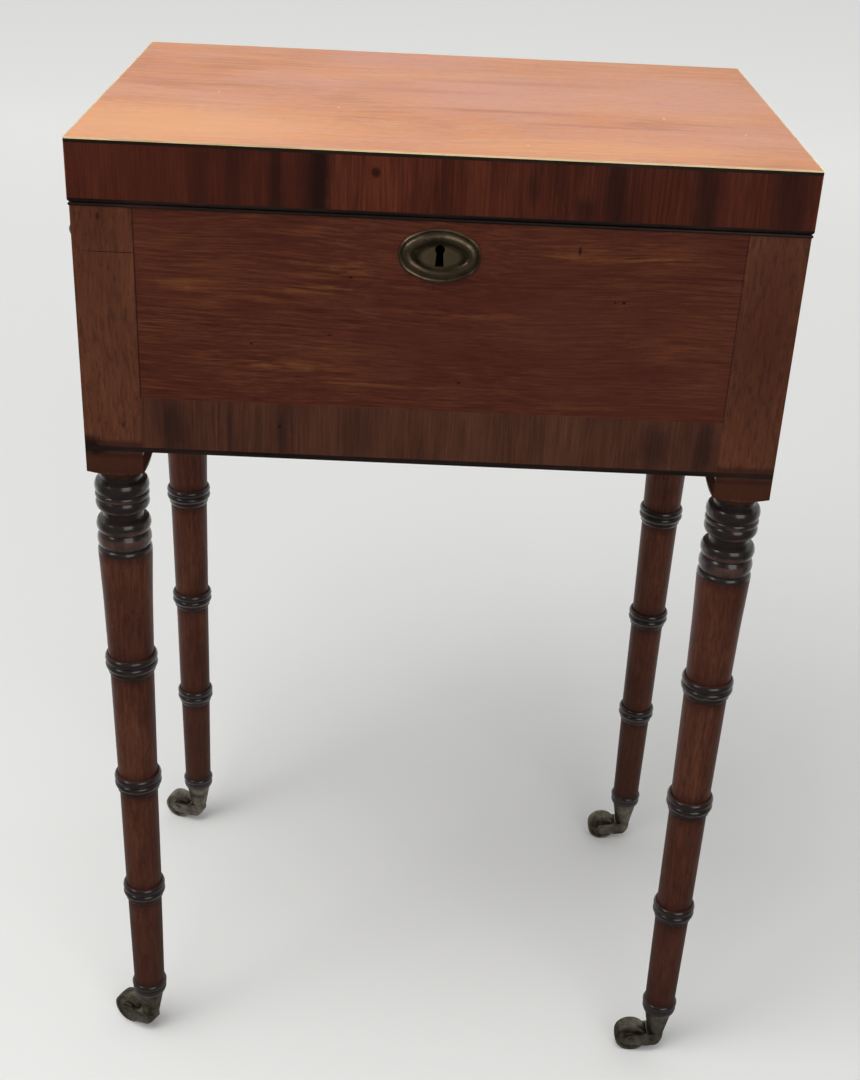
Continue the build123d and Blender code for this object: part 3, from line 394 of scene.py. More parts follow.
def polished(tree, shader, place, look, color, height):
    # the finish that all polished wood shares, over its colour
    polishBump, bumpDepth, polishIor = 0.35, 0.0004, 1.45
    give(tree, color, shader.inputs["Base Color"])
    polish = useGroup(tree, polishGroup, 0, -300, place, Roughness=look["roughness"],
                      Patches=look["patches"], Scratches=look["scratches"])
    give(tree, polish["Roughness"], shader.inputs["Roughness"])
    both = calc(tree, "MULTIPLY_ADD", 120, -420, polish["Height"], polishBump, height)
    bumpOn(tree, shader, both, look["bump"], bumpDepth)
    for label, value in (("Coat Weight", look["coat"]), ("IOR", polishIor),
                         ("Coat Roughness", look["coatRoughness"]),
                         ("Specular IOR Level", look["specular"])):
        shader.inputs[label].default_value = value


# the turns that lay the grain along each axis
grainTurns = {
    "alongX": (0.0, 0.0, 0.0),
    "alongY": (0.0, 0.0, math.radians(90)),
    "alongZ": (0.0, math.radians(90), 0.0),
}


def grained(tree, place, look, direction, offset=(0.0, 0.0, 0.0)):
    # wood grain of a look, laid along an axis
    turned = mapped(tree, -900, 200, place, offset, grainTurns[direction])
    return useGroup(tree, grainGroup, -680, 200, turned, Dark=look["dark"],
                    Middle=look["middle"], Light=look["light"],
                    Figure_Scale=look["figureScale"], Stretch=look["stretch"],
                    Streak_Scale=look["streakScale"], Streak_Share=look["streakShare"],
                    Spread=look["spread"], Fibre_Scale=look["fibreScale"],
                    Fibre_Depth=look["fibreDepth"], Pore_Depth=look["poreDepth"],
                    Wave=look["wave"])


# ---- lid top -------------------------------------------------------------------------------

lidTopLook = {
    "dark": rgb(178, 116, 86), "middle": rgb(201, 140, 104), "light": rgb(214, 156, 118),
    "figureScale": 12.0, "stretch": 0.3, "streakScale": 260.0, "streakShare": 0.5,
    "spread": 0.14, "fibreScale": 900.0, "fibreDepth": 0.16, "poreDepth": 0.05, "wave": 0.05,
    "roughness": 0.50, "patches": 0.2, "scratches": 0.06, "bump": 0.08, "specular": 0.25,
    "coat": 0.05, "coatRoughness": 0.25,
    "streak": rgb(158, 96, 72), "rosy": rgb(196, 142, 124), "paintedReflectionTint": rgb(218, 160, 112),
    "fleck": rgb(240, 206, 172), "patchTint": rgb(204, 134, 88), "dustTint": rgb(166, 108, 84),
    "rosyHaze": dict(scale=16.0, low=0.42, high=0.66, stretch=0.6, amount=0.55),
    "patchHaze": dict(scale=42.0, low=0.46, high=0.60, stretch=0.6, amount=0.4),
    "dustHaze": dict(scale=300.0, low=0.50, high=0.66, stretch=0.5, amount=0.22),
    # dark grain streaks, rosy clouds, a pale painted reflection on the front and chips of polish
    "streaks": onTop([(0.035, -0.035, 0.100, 0.007, 0.45), (0.105, -0.068, 0.090, 0.005, 0.40),
                      (-0.02, 0.020, 0.080, 0.009, 0.30), (0.05, 0.060, 0.110, 0.012, 0.30),
                      (-0.16, 0.070, 0.040, 0.014, 0.30)]),
    "clouds": onTop([(0.03, 0.020, 0.14, 0.08, 0.75), (0.17, 0.040, 0.10, 0.09, 0.65),
                     (0.19, -0.080, 0.06, 0.06, 0.5), (-0.02, 0.120, 0.12, 0.05, 0.6),
                     (-0.10, 0.030, 0.06, 0.04, 0.4)]),
    "corner": onTop([(-0.17, -0.11, 0.16, 0.09, 0.55), (0.10, -0.13, 0.16, 0.035, 0.4)], 0.1),
    "flecks": onTop([(0.148, -0.035, 0.0012, 0.0016, 0.8), (-0.071, -0.045, 0.0012, 0.0015, 0.7),
                     (0.197, -0.072, 0.0010, 0.0014, 0.7), (0.052, -0.128, 0.0010, 0.0014, 0.6),
                     (-0.155, -0.012, 0.0010, 0.0014, 0.6)], 0.01),
}


def makeLidTopMaterial(look):
    material, tree, shader, place = newMaterial("lidTopFadedMahogany")
    grain = grained(tree, place, look, "alongX")
    color = cloudsIn(tree, place, grain["Color"], look["rosy"], 700, **look["rosyHaze"])
    color = cloudsIn(tree, place, color, look["patchTint"], 900, **look["patchHaze"])
    color = spotsIn(tree, place, color, look["clouds"], look["rosy"], -200)
    color = cloudsIn(tree, place, color, look["dustTint"], 1100, **look["dustHaze"])
    # the pale front is a painted reflection
    color = spotsIn(tree, place, color, look["corner"], look["paintedReflectionTint"], -900)
    color = spotsIn(tree, place, color, look["streaks"], look["streak"], -1300,
                    soft=0.95, ragged=0.8)
    color = spotsIn(tree, place, color, look["flecks"], look["fleck"], -2200,
                    soft=0.5, ragged=0.3)
    polished(tree, shader, place, look, color, grain["Height"])
    return material


# ---- crossbanding on the lid's edges -------------------------------------------------------

lidBandLook = {
    "dark": rgb(46, 17, 11), "middle": rgb(74, 31, 18), "light": rgb(98, 46, 25),
    "figureScale": 26.0, "stretch": 0.25, "streakScale": 640.0, "streakShare": 0.5,
    "spread": 0.20, "fibreScale": 1500.0, "fibreDepth": 0.34, "poreDepth": 0.3, "wave": 0.008,
    "roughness": 0.34, "patches": 0.16, "scratches": 0.10, "bump": 0.10, "specular": 0.18,
    "coat": 0.07, "coatRoughness": 0.16,
    "shadeTint": rgb(40, 14, 9),
    # the right half and the far ends are darker
    "shades": onFront(lidFront, [(0.118, 0.722, 0.085, 0.10, 0.42),
                                 (0.205, 0.722, 0.045, 0.10, 0.30),
                                 (-0.105, 0.722, 0.050, 0.10, 0.25)], 0.03),
    "leftLeaf": rgb(60, 25, 17), "leftLeafShare": 0.35, "stripe": rgb(30, 13, 10),
    "knot": rgb(22, 8, 6),
    "wornAndHighlitEdge": rgb(140, 84, 54), "jointX": -0.068,
    # dark stripes and a knot in the veneer
    "stripes": onFront(lidFront, [(-0.0755, 0.722, 0.0095, 0.08, 0.95),
                                  (-0.084, 0.722, 0.006, 0.08, 0.4),
                                  (-0.102, 0.722, 0.006, 0.08, 0.6),
                                  (0.055, 0.725, 0.006, 0.016, 0.4),
                                  (0.088, 0.712, 0.010, 0.012, 0.55),
                                  (0.106, 0.722, 0.0085, 0.08, 0.65),
                                  (0.161, 0.722, 0.012, 0.08, 0.6),
                                  (0.212, 0.722, 0.016, 0.08, 0.45, 0.03),
                                  (-0.150, 0.722, 0.010, 0.08, 0.3),
                                  (-0.128, 0.722, 0.006, 0.08, 0.3)]),
    "knots": onFront(lidFront, [(-0.041, 0.731, 0.0042, 0.0045, 0.8)], 0.01),
    # the edges of the lid, between these corners, worn and painted lighter as highlights on the
    # arrises
    "edge": dict(Low=(-lidHalfWidth, lidFront, 0.700),
                 High=(lidHalfWidth, lidHalfDepth, 0.748), Width=0.0022, Amount=0.55),
}


def makeLidBandMaterial(look):
    material, tree, shader, place = newMaterial("lidCrossbanding")
    grain = grained(tree, place, look, "alongZ")
    # the leaf to the left of the joint is a shade darker
    axes = axesOf(tree, -900, -300, place)
    leftLeaf = calc(tree, "LESS_THAN", -700, -300, axes["X"], look["jointX"])
    color = mixIn(tree, grain["Color"], leftLeaf, look["leftLeaf"], -500, 320,
                  look["leftLeafShare"])
    color = spotsIn(tree, place, color, look["shades"], look["shadeTint"], -2900,
                    soft=0.9, ragged=0.2)
    color = spotsIn(tree, place, color, look["stripes"], look["stripe"], -480,
                    soft=0.75, ragged=0.4)
    color = spotsIn(tree, place, color, look["knots"], look["knot"], -2300,
                    soft=0.7, ragged=0.6)
    edge = useGroup(tree, edgeGroup, -520, -2500, place, **look["edge"])
    # the pale edges are part wear, part painted highlight on the arrises
    color = mixIn(tree, color, edge["Mask"], look["wornAndHighlitEdge"], 430, 180)
    polished(tree, shader, place, look, color, grain["Height"])
    return material


# ---- panels and the crossbanded rail of the case -------------------------------------------

panelLook = {
    "dark": rgb(62, 26, 16), "middle": rgb(83, 40, 25), "light": rgb(102, 56, 31),
    "figureScale": 24.0, "stretch": 0.3, "streakScale": 640.0, "streakShare": 0.6,
    "spread": 0.17, "fibreScale": 1300.0, "fibreDepth": 0.46, "poreDepth": 0.34, "wave": 0.035,
    "roughness": 0.34, "patches": 0.18, "scratches": 0.12, "bump": 0.10, "specular": 0.18,
    "coat": 0.07, "coatRoughness": 0.18, "grainShift": (0.0, 0.0, 0.06), "sideFrom": 0.2,
    "goldenTint": rgb(128, 80, 36), "goldenShare": 0.5, "redTint": rgb(66, 26, 20),
    "seam": rgb(34, 16, 11), "dent": rgb(26, 12, 9), "dirt": rgb(30, 15, 11),
    "broad": dict(scale=11.0, low=0.45, high=0.62, stretch=0.5, amount=0.45),
    # the joints beside the corner posts
    "seams": onFront(caseFront, [(-0.1906, 0.630, 0.0008, 0.18, 0.75),
                                 (0.1906, 0.630, 0.0008, 0.18, 0.6)], 0.01),
    # the golden and the dark red parts of the figure, dirt round the plate, and dents
    "golden": onFront(caseFront, [(0.115, 0.6835, 0.085, 0.0024, 0.75),
                                  (0.115, 0.687, 0.075, 0.009, 0.3),
                                  (-0.160, 0.655, 0.030, 0.006, 0.5),
                                  (-0.080, 0.688, 0.034, 0.008, 0.5),
                                  (-0.075, 0.655, 0.036, 0.006, 0.6),
                                  (-0.060, 0.668, 0.040, 0.010, 0.4),
                                  (-0.100, 0.603, 0.050, 0.0045, 0.6),
                                  (-0.150, 0.606, 0.030, 0.006, 0.4),
                                  (0.010, 0.642, 0.060, 0.004, 0.4),
                                  (-0.020, 0.592, 0.090, 0.004, 0.35)]),
    "red": onFront(caseFront, [(-0.122, 0.641, 0.024, 0.010, 0.6),
                               (-0.130, 0.612, 0.012, 0.016, 0.45),
                               (-0.030, 0.625, 0.060, 0.012, 0.45),
                               (0.045, 0.655, 0.040, 0.010, 0.4),
                               (0.080, 0.675, 0.016, 0.005, 0.5),
                               (0.140, 0.608, 0.050, 0.007, 0.7),
                               (0.060, 0.614, 0.030, 0.006, 0.5),
                               (0.150, 0.640, 0.040, 0.012, 0.35)]),
    "dirtPlaces": onFront(caseFront, [(0.0, 0.6796, 0.0300, 0.0215, 0.45)]),
    "dents": onFront(caseFront, [(-0.055, 0.664, 0.0016, 0.0012, 0.8),
                                 (0.016, 0.596, 0.0015, 0.0011, 0.8),
                                 (0.112, 0.655, 0.0012, 0.0012, 0.8),
                                 (0.1175, 0.655, 0.0016, 0.0014, 0.9),
                                 (0.087, 0.6875, 0.0014, 0.0036, 0.8),
                                 (-0.118, 0.617, 0.0011, 0.0014, 0.8),
                                 (-0.068, 0.625, 0.0022, 0.0010, 0.7)], 0.01),
}


def makePanelMaterial(look, direction, name):
    material, tree, shader, place = newMaterial(name)
    # the grain runs along Y on the two sides of the case
    axes = axesOf(tree, -1500, 500, place)
    swapped = put(tree, "ShaderNodeCombineXYZ", -1340, 500)
    feed(tree, swapped, axes["Y"], axes["X"], axes["Z"])
    far = calc(tree, "ABSOLUTE", -1340, 700, axes["X"])
    onSide = calc(tree, "GREATER_THAN", -1180, 700, far, look["sideFrom"])
    along = mixed(tree, "VECTOR", -1020, 500, onSide, place, swapped.outputs[0])
    grain = grained(tree, along, look, direction, look["grainShift"])
    color = cloudsIn(tree, place, grain["Color"], look["redTint"], 700, **look["broad"])
    color = spotsIn(tree, place, color, look["red"], look["redTint"], -200,
                    soft=0.95, ragged=0.9)
    golden = [(at, size, amount * look["goldenShare"]) for at, size, amount in look["golden"]]
    color = spotsIn(tree, place, color, golden, look["goldenTint"], -1600, soft=0.95,
                    ragged=0.9, lines=grain["Figure"])
    color = spotsIn(tree, place, color, look["seams"], look["seam"], -5000,
                    soft=0.6, ragged=0.3)
    color = spotsIn(tree, place, color, look["dents"], look["dent"], -3400,
                    soft=0.5, ragged=0.3)
    color = spotsIn(tree, place, color, look["dirtPlaces"], look["dirt"], -4600,
                    soft=0.35, ragged=0.3)
    polished(tree, shader, place, look, color, grain["Height"])
    return material


railLook = {
    "dark": rgb(54, 29, 20), "middle": rgb(73, 41, 28), "light": rgb(88, 52, 35),
    "figureScale": 30.0, "stretch": 0.25, "streakScale": 640.0, "streakShare": 0.5,
    "spread": 0.20, "fibreScale": 1400.0, "fibreDepth": 0.34, "poreDepth": 0.26, "wave": 0.008,
    "roughness": 0.38, "patches": 0.18, "scratches": 0.12, "bump": 0.10, "specular": 0.18,
    "coat": 0.06, "coatRoughness": 0.2, "grainShift": (0.31, 0.12, 0.0),
    "darkPatch": rgb(32, 17, 14), "knot": rgb(20, 9, 7),
    "patchPlaces": onFront(caseFront, [(0.148, 0.556, 0.014, 0.026, 0.6),
                                       (0.180, 0.556, 0.010, 0.03, 0.6),
                                       (-0.170, 0.556, 0.012, 0.03, 0.65),
                                       (-0.133, 0.556, 0.0025, 0.03, 0.5),
                                       (-0.114, 0.556, 0.004, 0.03, 0.4),
                                       (-0.098, 0.556, 0.007, 0.03, 0.45),
                                       (-0.050, 0.556, 0.012, 0.03, 0.3),
                                       (0.070, 0.556, 0.010, 0.03, 0.35),
                                       (0.020, 0.556, 0.006, 0.03, 0.3)]),
    "knots": onFront(caseFront, [(-0.100, 0.560, 0.0015, 0.0017, 0.8)], 0.01),
}


def makeRailMaterial(look):
    material, tree, shader, place = newMaterial("caseCrossbanding")
    grain = grained(tree, place, look, "alongZ", look["grainShift"])
    color = grain["Color"]
    color = spotsIn(tree, place, color, look["patchPlaces"], look["darkPatch"], -300,
                    soft=0.8, ragged=0.5)
    color = spotsIn(tree, place, color, look["knots"], look["knot"], -1900,
                    soft=0.5, ragged=0.3)
    polished(tree, shader, place, look, color, grain["Height"])
    return material


# ---- legs: corner post, turned shaft and ebonised bands ------------------------------------

# heights of the middles of the three bamboo rings
ringHeights = [0.361, 0.2549, 0.1492]

legLook = {
    "dark": rgb(58, 30, 21), "middle": rgb(80, 44, 31), "light": rgb(98, 58, 39),
    "figureScale": 34.0, "stretch": 0.45, "streakScale": 480.0, "streakShare": 0.5,
    "spread": 0.21, "fibreScale": 1100.0, "fibreDepth": 0.36, "poreDepth": 0.55, "wave": 0.012,
    "roughness": 0.36, "patches": 0.16, "scratches": 0.08, "bump": 0.10, "specular": 0.16,
    "grainShift": (0.17, 0.05, 0.0), "mottle": rgb(44, 21, 16),
    "mottling": dict(scale=560.0, low=0.50, high=0.62, stretch=0.22, amount=0.42),
    "rubbing": dict(scale=55.0, low=0.36, high=0.56),
    # the right post is redder, and the shafts get painted shade that darkens toward the floor
    "redder": onFront(caseFront, [(0.211, 0.640, 0.040, 0.10, 0.45),
                                  (-0.211, 0.690, 0.040, 0.025, 0.35)]),
    "redTint": rgb(60, 24, 16), "paintedFloorShade": rgb(44, 22, 17), "lowFrom": 0.26, "lowTo": 0.07,
    "coat": 0.0, "coatRoughness": 0.20, "bandCoat": 1.0,
    "postTint": rgb(98, 57, 32), "ebony": rgb(34, 27, 25), "rubbedEbony": rgb(78, 54, 46),
    "darkened": rgb(38, 19, 15), "crack": rgb(18, 9, 7), "grimy": rgb(44, 24, 18),
    # heights of the blackened turnings, low and high
    "bands": [(0.4545, 0.5150), *[(z - 0.0080, z + 0.0084) for z in ringHeights],
              (0.0425, 0.0548)],
    # where the black has rubbed to brown, low and high
    "rubbed": [(0.4955, 0.4992), (0.4862, 0.4895), (0.4706, 0.4752), (0.4596, 0.4682),
               *[(z - 0.0040, z - 0.0005) for z in ringHeights], (0.0425, 0.0458)],
    "shadeReach": 0.008,
    # how much each tint covers
    "postShare": 0.3, "lowShare": 0.45, "squareShare": 0.8, "grimyShare": 0.75,
    "darkenedShare": 0.55, "rubbedShare": 0.75,
    # the post above the square, and the dirty step between them
    "postFoot": 0.5225, "postTop": 0.80, "squareFoot": 0.5195, "squareTop": 0.5360,
    "step": (0.5310, 0.5460),
    "cracks": onFront(caseFront, [(-0.201, 0.6735, 0.030, 0.0004, 0.8)], 0.006),
    "stains": onFront(caseFront, [(-0.229, 0.543, 0.014, 0.008, 0.7),
                                  (-0.222, 0.538, 0.012, 0.005, 0.8),
                                  (-0.212, 0.696, 0.0015, 0.003, 0.6),
                                  (-0.203, 0.556, 0.0012, 0.003, 0.6),
                                  (0.205, 0.600, 0.0012, 0.004, 0.5)]),
    # the square is dull with dirt
    "squareTint": rgb(50, 30, 24), "squareShine": 0.0,
}


def makeLegMaterial(look):
    material, tree, shader, place = newMaterial("turnedMahogany")
    grain = grained(tree, place, look, "alongZ", look["grainShift"])

    def band(low, high, y, soft=0.0006, uneven=0.0006):
        return useGroup(tree, bandGroup, -900, y, place, Low=low, High=high, Soft=soft,
                        Uneven=uneven)["Mask"]

    def gather(heights, y, *edges, margin=0.0):
        # the bands at several heights as one mask
        total = None
        for i, (low, high) in enumerate(heights):
            mask = band(low - margin, high + margin, y - 150 * i, *edges)
            total = (mask if total is None
                     else calc(tree, "MAXIMUM", -700 + 40 * i, y, total, mask))
        return total

    post = band(look["postFoot"], look["postTop"], -200, 0.002)
    color = mixIn(tree, grain["Color"], post, look["postTint"], -500, 320,
                  look["postShare"])
    color = spotsIn(tree, place, color, look["redder"], look["redTint"], -2800,
                    soft=0.9, ragged=0.3)
    upright = mapped(tree, -900, 900, place, None, grainTurns["alongZ"])
    color = cloudsIn(tree, upright, color, look["mottle"], 900, **look["mottling"])
    axes = axesOf(tree, -900, 1100, place)
    # painted shade on the shafts, darker toward the floor
    lower = remap(tree, -700, 1100, axes["Z"], look["lowFrom"], look["lowTo"])
    color = mixIn(tree, color, lower, look["paintedFloorShade"], -520, 1100, look["lowShare"])
    square = band(look["squareFoot"], look["squareTop"], 0, 0.002)
    color = mixIn(tree, color, square, look["squareTint"], -460, 520, look["squareShare"])
    dirty = band(*look["step"], 200, 0.003, 0.004)
    color = mixIn(tree, color, dirty, look["grimy"], -420, 720, look["grimyShare"])
    reach = look["shadeReach"]
    nearBands = gather(look["bands"], -380, reach, 0.003, margin=reach)
    color = mixIn(tree, color, nearBands, look["darkened"], -380, 320, look["darkenedShare"])
    black = gather(look["bands"], -1200)
    color = mixIn(tree, color, black, look["ebony"], -200, 320)
    rubbed = gather(look["rubbed"], -2000, 0.0012, 0.004)
    worn = cloud(tree, place, -1900, **look["rubbing"])
    wornHere = calc(tree, "MULTIPLY", -180, -1900, rubbed, worn)
    color = mixIn(tree, color, wornHere, look["rubbedEbony"], -20, 320, look["rubbedShare"])
    color = spotsIn(tree, place, color, look["cracks"], look["crack"], -2300,
                    soft=0.5, ragged=0.0)
    color = spotsIn(tree, place, color, look["stains"], look["crack"], -2500,
                    soft=0.7, ragged=0.9)
    polished(tree, shader, place, look, color, grain["Height"])
    shine = remap(tree, 200, -760, square, None, None, look["specular"], look["squareShine"])
    give(tree, shine, shader.inputs["Specular IOR Level"])
    coat = remap(tree, 200, -600, black, None, None, 0.0, look["bandCoat"])
    give(tree, coat, shader.inputs["Coat Weight"])
    return material


# ---- ebony, boxwood, plain carcass wood and the fitted inside ------------------------------

ebonyLook = {
    "dark": rgb(18, 13, 11), "middle": rgb(32, 22, 18), "light": rgb(48, 32, 25),
    "figureScale": 30.0, "stretch": 0.25, "streakScale": 300.0, "streakShare": 0.5,
    "spread": 0.14, "fibreScale": 900.0, "fibreDepth": 0.3, "poreDepth": 0.2, "wave": 0.01,
    "roughness": 0.38, "patches": 0.2, "scratches": 0.15, "bump": 0.1, "specular": 0.22,
    # worn is the pale edge colour: part wear, part painted highlight on the rounded arris
    "coat": 0.08, "coatRoughness": 0.2, "worn": rgb(86, 64, 50), "wornAndHighlitAmount": 0.45,
    "wornAndHighlitWidth": 0.0012,
}

# the boxwood's near-white edge is partly a painted highlight on the arris
boxwoodLook = dict(ebonyLook, dark=rgb(176, 142, 92), middle=rgb(222, 194, 144),
                   light=rgb(240, 220, 178), poreDepth=0.1, coat=0.1, worn=rgb(246, 234, 200),
                   wornAndHighlitAmount=0.8)

carcassLook = dict(panelLook, dark=rgb(70, 44, 26), middle=rgb(104, 70, 44),
                   light=rgb(134, 96, 62), roughness=0.6, coat=0.0, bump=0.35,
                   # the keyhole's walls get painted shade
                   keyholeShadeTint=rgb(10, 7, 6),
                   keyholeShadePlaces=onFront(boardMiddle, [(0.0, 0.6795, 0.008, 0.013, 0.97)]))

insideLook = dict(panelLook, dark=rgb(92, 50, 30), middle=rgb(130, 78, 48),
                  light=rgb(158, 104, 66), roughness=0.42, coat=0.15)


def makePlainWood(look, direction, name, knobHeight=None):
    material, tree, shader, place = newMaterial(name)
    grain = grained(tree, place, look, direction)
    color = grain["Color"]
    # pale edges: part wear, part painted highlight on the arris
    if "worn" in look:
        edge = useGroup(tree, edgeGroup, -520, -500, place, Low=tuple(cadBox[0]),
                        High=(lidHalfWidth, lidHalfDepth, lidTop), Width=look["wornAndHighlitWidth"],
                        Amount=look["wornAndHighlitAmount"])
        color = mixIn(tree, color, edge["Mask"], look["worn"], -100, 320)
    if knobHeight:
        knob = useGroup(tree, bandGroup, -520, -300, place, Low=knobHeight, High=1.0,
                        Soft=0.0004, Uneven=0.0)
        color = mixIn(tree, color, knob["Mask"], ebonyLook["middle"], 60, 320)
    # the keyhole's walls are painted near-black: painted shade inside the keyhole
    color = spotsIn(tree, place, color, look.get("keyholeShadePlaces", []), look.get("keyholeShadeTint"), -900,
                    soft=0.3)
    polished(tree, shader, place, look, color, grain["Height"])
    return material


# ---- metal and glass -----------------------------------------------------------------------

brassLook = {
    "clean": rgb(146, 130, 104), "tarnish": rgb(98, 84, 66), "green": rgb(88, 86, 70),
    "roughness": 0.40, "tarnishRoughness": 0.54, "patchScale": 70.0, "bump": 0.2,
    "patchRange": (0.40, 0.66), "speckScale": 260.0, "speckRange": (0.58, 0.74),
    "greenShare": 0.6, "bumpDepth": 0.0003,
    # the plate inside the escutcheon's rim is rubbed brighter, with dirt round it
    "rubbedBright": rgb(180, 158, 124), "grooveDark": rgb(52, 44, 34),
    "rubbedPlaces": onFront(plateFront, [(0.0, 0.6795, 0.0150, 0.0086, 0.65)], 0.03),
    "groovePlaces": onFront(plateFront, [(0.0, 0.6795, 0.0192, 0.0116, 0.7)], 0.03),
}

casterLook = dict(brassLook, clean=rgb(150, 144, 130), tarnish=rgb(84, 76, 64),
                  green=rgb(70, 66, 54), roughness=0.36, patchRange=(0.36, 0.62))


def makeBrassMaterial(look, name):
    material, tree, shader, place = newMaterial(name)
    noise = noiseAt(tree, -900, 200, place, look["patchScale"], 6.0, 0.65)
    patch = remap(tree, -700, 200, noise["Fac"], *look["patchRange"])
    base = mixed(tree, "RGBA", -400, 300, patch, look["clean"], look["tarnish"])
    fine = noiseAt(tree, -900, -100, place, look["speckScale"], 4.0)
    specks = remap(tree, -700, -100, fine["Fac"], *look["speckRange"])
    color = mixIn(tree, base, specks, look["green"], -120, 300, look["greenShare"])
    color = spotsIn(tree, place, color, look["groovePlaces"], look["grooveDark"], -900,
                    soft=0.25, ragged=0.2)
    color = spotsIn(tree, place, color, look["rubbedPlaces"], look["rubbedBright"], -600,
                    soft=0.3, ragged=0.3)
    give(tree, color, shader.inputs["Base Color"])
    rough = remap(tree, -400, -100, patch, None, None, look["roughness"],
                  look["tarnishRoughness"])
    give(tree, rough, shader.inputs["Roughness"])
    shader.inputs["Metallic"].default_value = 1.0
    bumpOn(tree, shader, fine["Fac"], look["bump"], look["bumpDepth"])
    return material


ironLook = dict(brassLook, clean=rgb(96, 92, 88), tarnish=rgb(50, 42, 36),
                green=rgb(76, 54, 38), roughness=0.42, rubbedPlaces=[],
                # where the keyhole shows the lock, it is painted near-black: painted shade
                grooveDark=rgb(9, 7, 6),
                groovePlaces=onFront(boardMiddle, [(0.0, 0.6795, 0.012, 0.016, 0.97)], 0.03))

glassLook = {"tint": rgb(226, 240, 236), "deepTint": rgb(214, 232, 226), "roughness": 0.03,
             "waviness": 0.08, "waveScale": 22.0, "waveDepth": 0.001, "ior": 1.5}


def makeGlassMaterial(look):
    material, tree, shader, place = newMaterial("bowlGlass")
    noise = noiseAt(tree, -700, 0, place, look["waveScale"], 2.0)
    tint = mixed(tree, "RGBA", -300, 200, noise["Fac"], look["tint"], look["deepTint"])
    give(tree, tint, shader.inputs["Base Color"])
    for label, value in (("Roughness", look["roughness"]), ("IOR", look["ior"]),
                         ("Transmission Weight", 1.0)):
        shader.inputs[label].default_value = value
    bumpOn(tree, shader, noise["Fac"], look["waviness"], look["waveDepth"])
    return material


# ---- dress every CAD node ------------------------------------------------------------------

corners = ["front_left", "front_right", "back_left", "back_right"]
# the knobs of the canister lids are black from this height up
knobsFrom = 0.678
brass = makeBrassMaterial(brassLook, "oldBrass")
dullBrass = makeBrassMaterial(casterLook, "dullCasterBrass")
iron = makeBrassMaterial(ironLook, "oldIron")
ebony = makePlainWood(ebonyLook, "alongX", "ebonisedLine")
carcass = makePlainWood(carcassLook, "alongX", "carcassWood")
inside = makePlainWood(insideLook, "alongY", "insideWood", knobsFrom)

dress(makeLidTopMaterial(lidTopLook), "lid_top_veneer")
dress(makeLidBandMaterial(lidBandLook), "lid_crossbands")
dress(makePanelMaterial(panelLook, "alongX", "casePanels"), "panel_veneers")
dress(makeRailMaterial(railLook), "rail_crossbands")
dress(makeLegMaterial(legLook), *["leg_" + corner for corner in corners])
dress(ebony, "base_stringing", "rim_bead", "lid_base_bead", "lid_ebony_stringing")
dress(makePlainWood(boxwoodLook, "alongX", "boxwoodLine"), "lid_boxwood_stringing")
dress(carcass, "front_board", "back_board", "left_board", "right_board", "bottom_board",
      "lid_front_rail", "lid_back_rail", "lid_left_rail", "lid_right_rail", "lid_top_board")
dress(inside, "partitions", "bowl_platform", "canister_left", "canister_right",
      "canister_lid_left", "canister_lid_right")
dress(brass, "escutcheon", "handle_roses", "handle_posts", "bail_left", "bail_right",
      "hinge_leaves_case", "hinge_leaves_lid", "link_plate")
dress(dullBrass, "caster_cups", *["caster_" + corner + "_horn" for corner in corners],
      *["caster_" + corner + "_wheel" for corner in corners])
dress(iron, "hinge_pins", "case_screws", "lid_screws", "handle_nuts", "lock_case",
      "lock_bolt")
dress(makeGlassMaterial(glassLook), "bowl_front", "bowl_back")
print("CAD nodes dressed")


# ---- floor, lights and camera --------------------------------------------------------------

studio = {
    "floorSize": 14.0, "floorColor": rgb(222, 222, 220), "farColor": rgb(238, 238, 236),
    "background": rgb(226, 226, 224), "ambient": 0.55, "shine": 0.75,
    "farFrom": 0.6, "farTo": 3.0, "floorRoughness": 0.85,
    # the floor behind the object gives back the light that falls off
    "glowFrom": 0.4, "glowTo": 3.0, "glow": 0.2,
    # the room in front of the object is dim, so polished fronts reflect little
    "dimRoom": rgb(48, 46, 45), "dimFrom": -0.35, "dimTo": 0.45,
    "topLight": {"place": (-0.9, -0.9, 3.0), "size": 2.2, "watts": 60.0,
                 "target": (0, 0, 0.5)},
    "frontLight": {"place": (1.4, -3.0, 1.9), "size": 2.0, "watts": 26.0,
                   "target": (0, 0, 0.45)},
    "window": {"place": (-2.2, -1.6, 2.2), "size": 0.9, "watts": 10.0,
               "target": (0, 0, 0.45)},
}


def aimedLight(name, settings):
    data = bpy.data.lights.new(name, "AREA")
    data.shape = "SQUARE"
    data.size = settings["size"]
    data.energy = settings["watts"]
    light = bpy.data.objects.new(name, data)
    light.location = settings["place"]
    aim = Vector(settings["target"]) - Vector(settings["place"])
    light.rotation_euler = aim.to_track_quat("-Z", "Y").to_euler()
    bpy.context.scene.collection.objects.link(light)
    return light


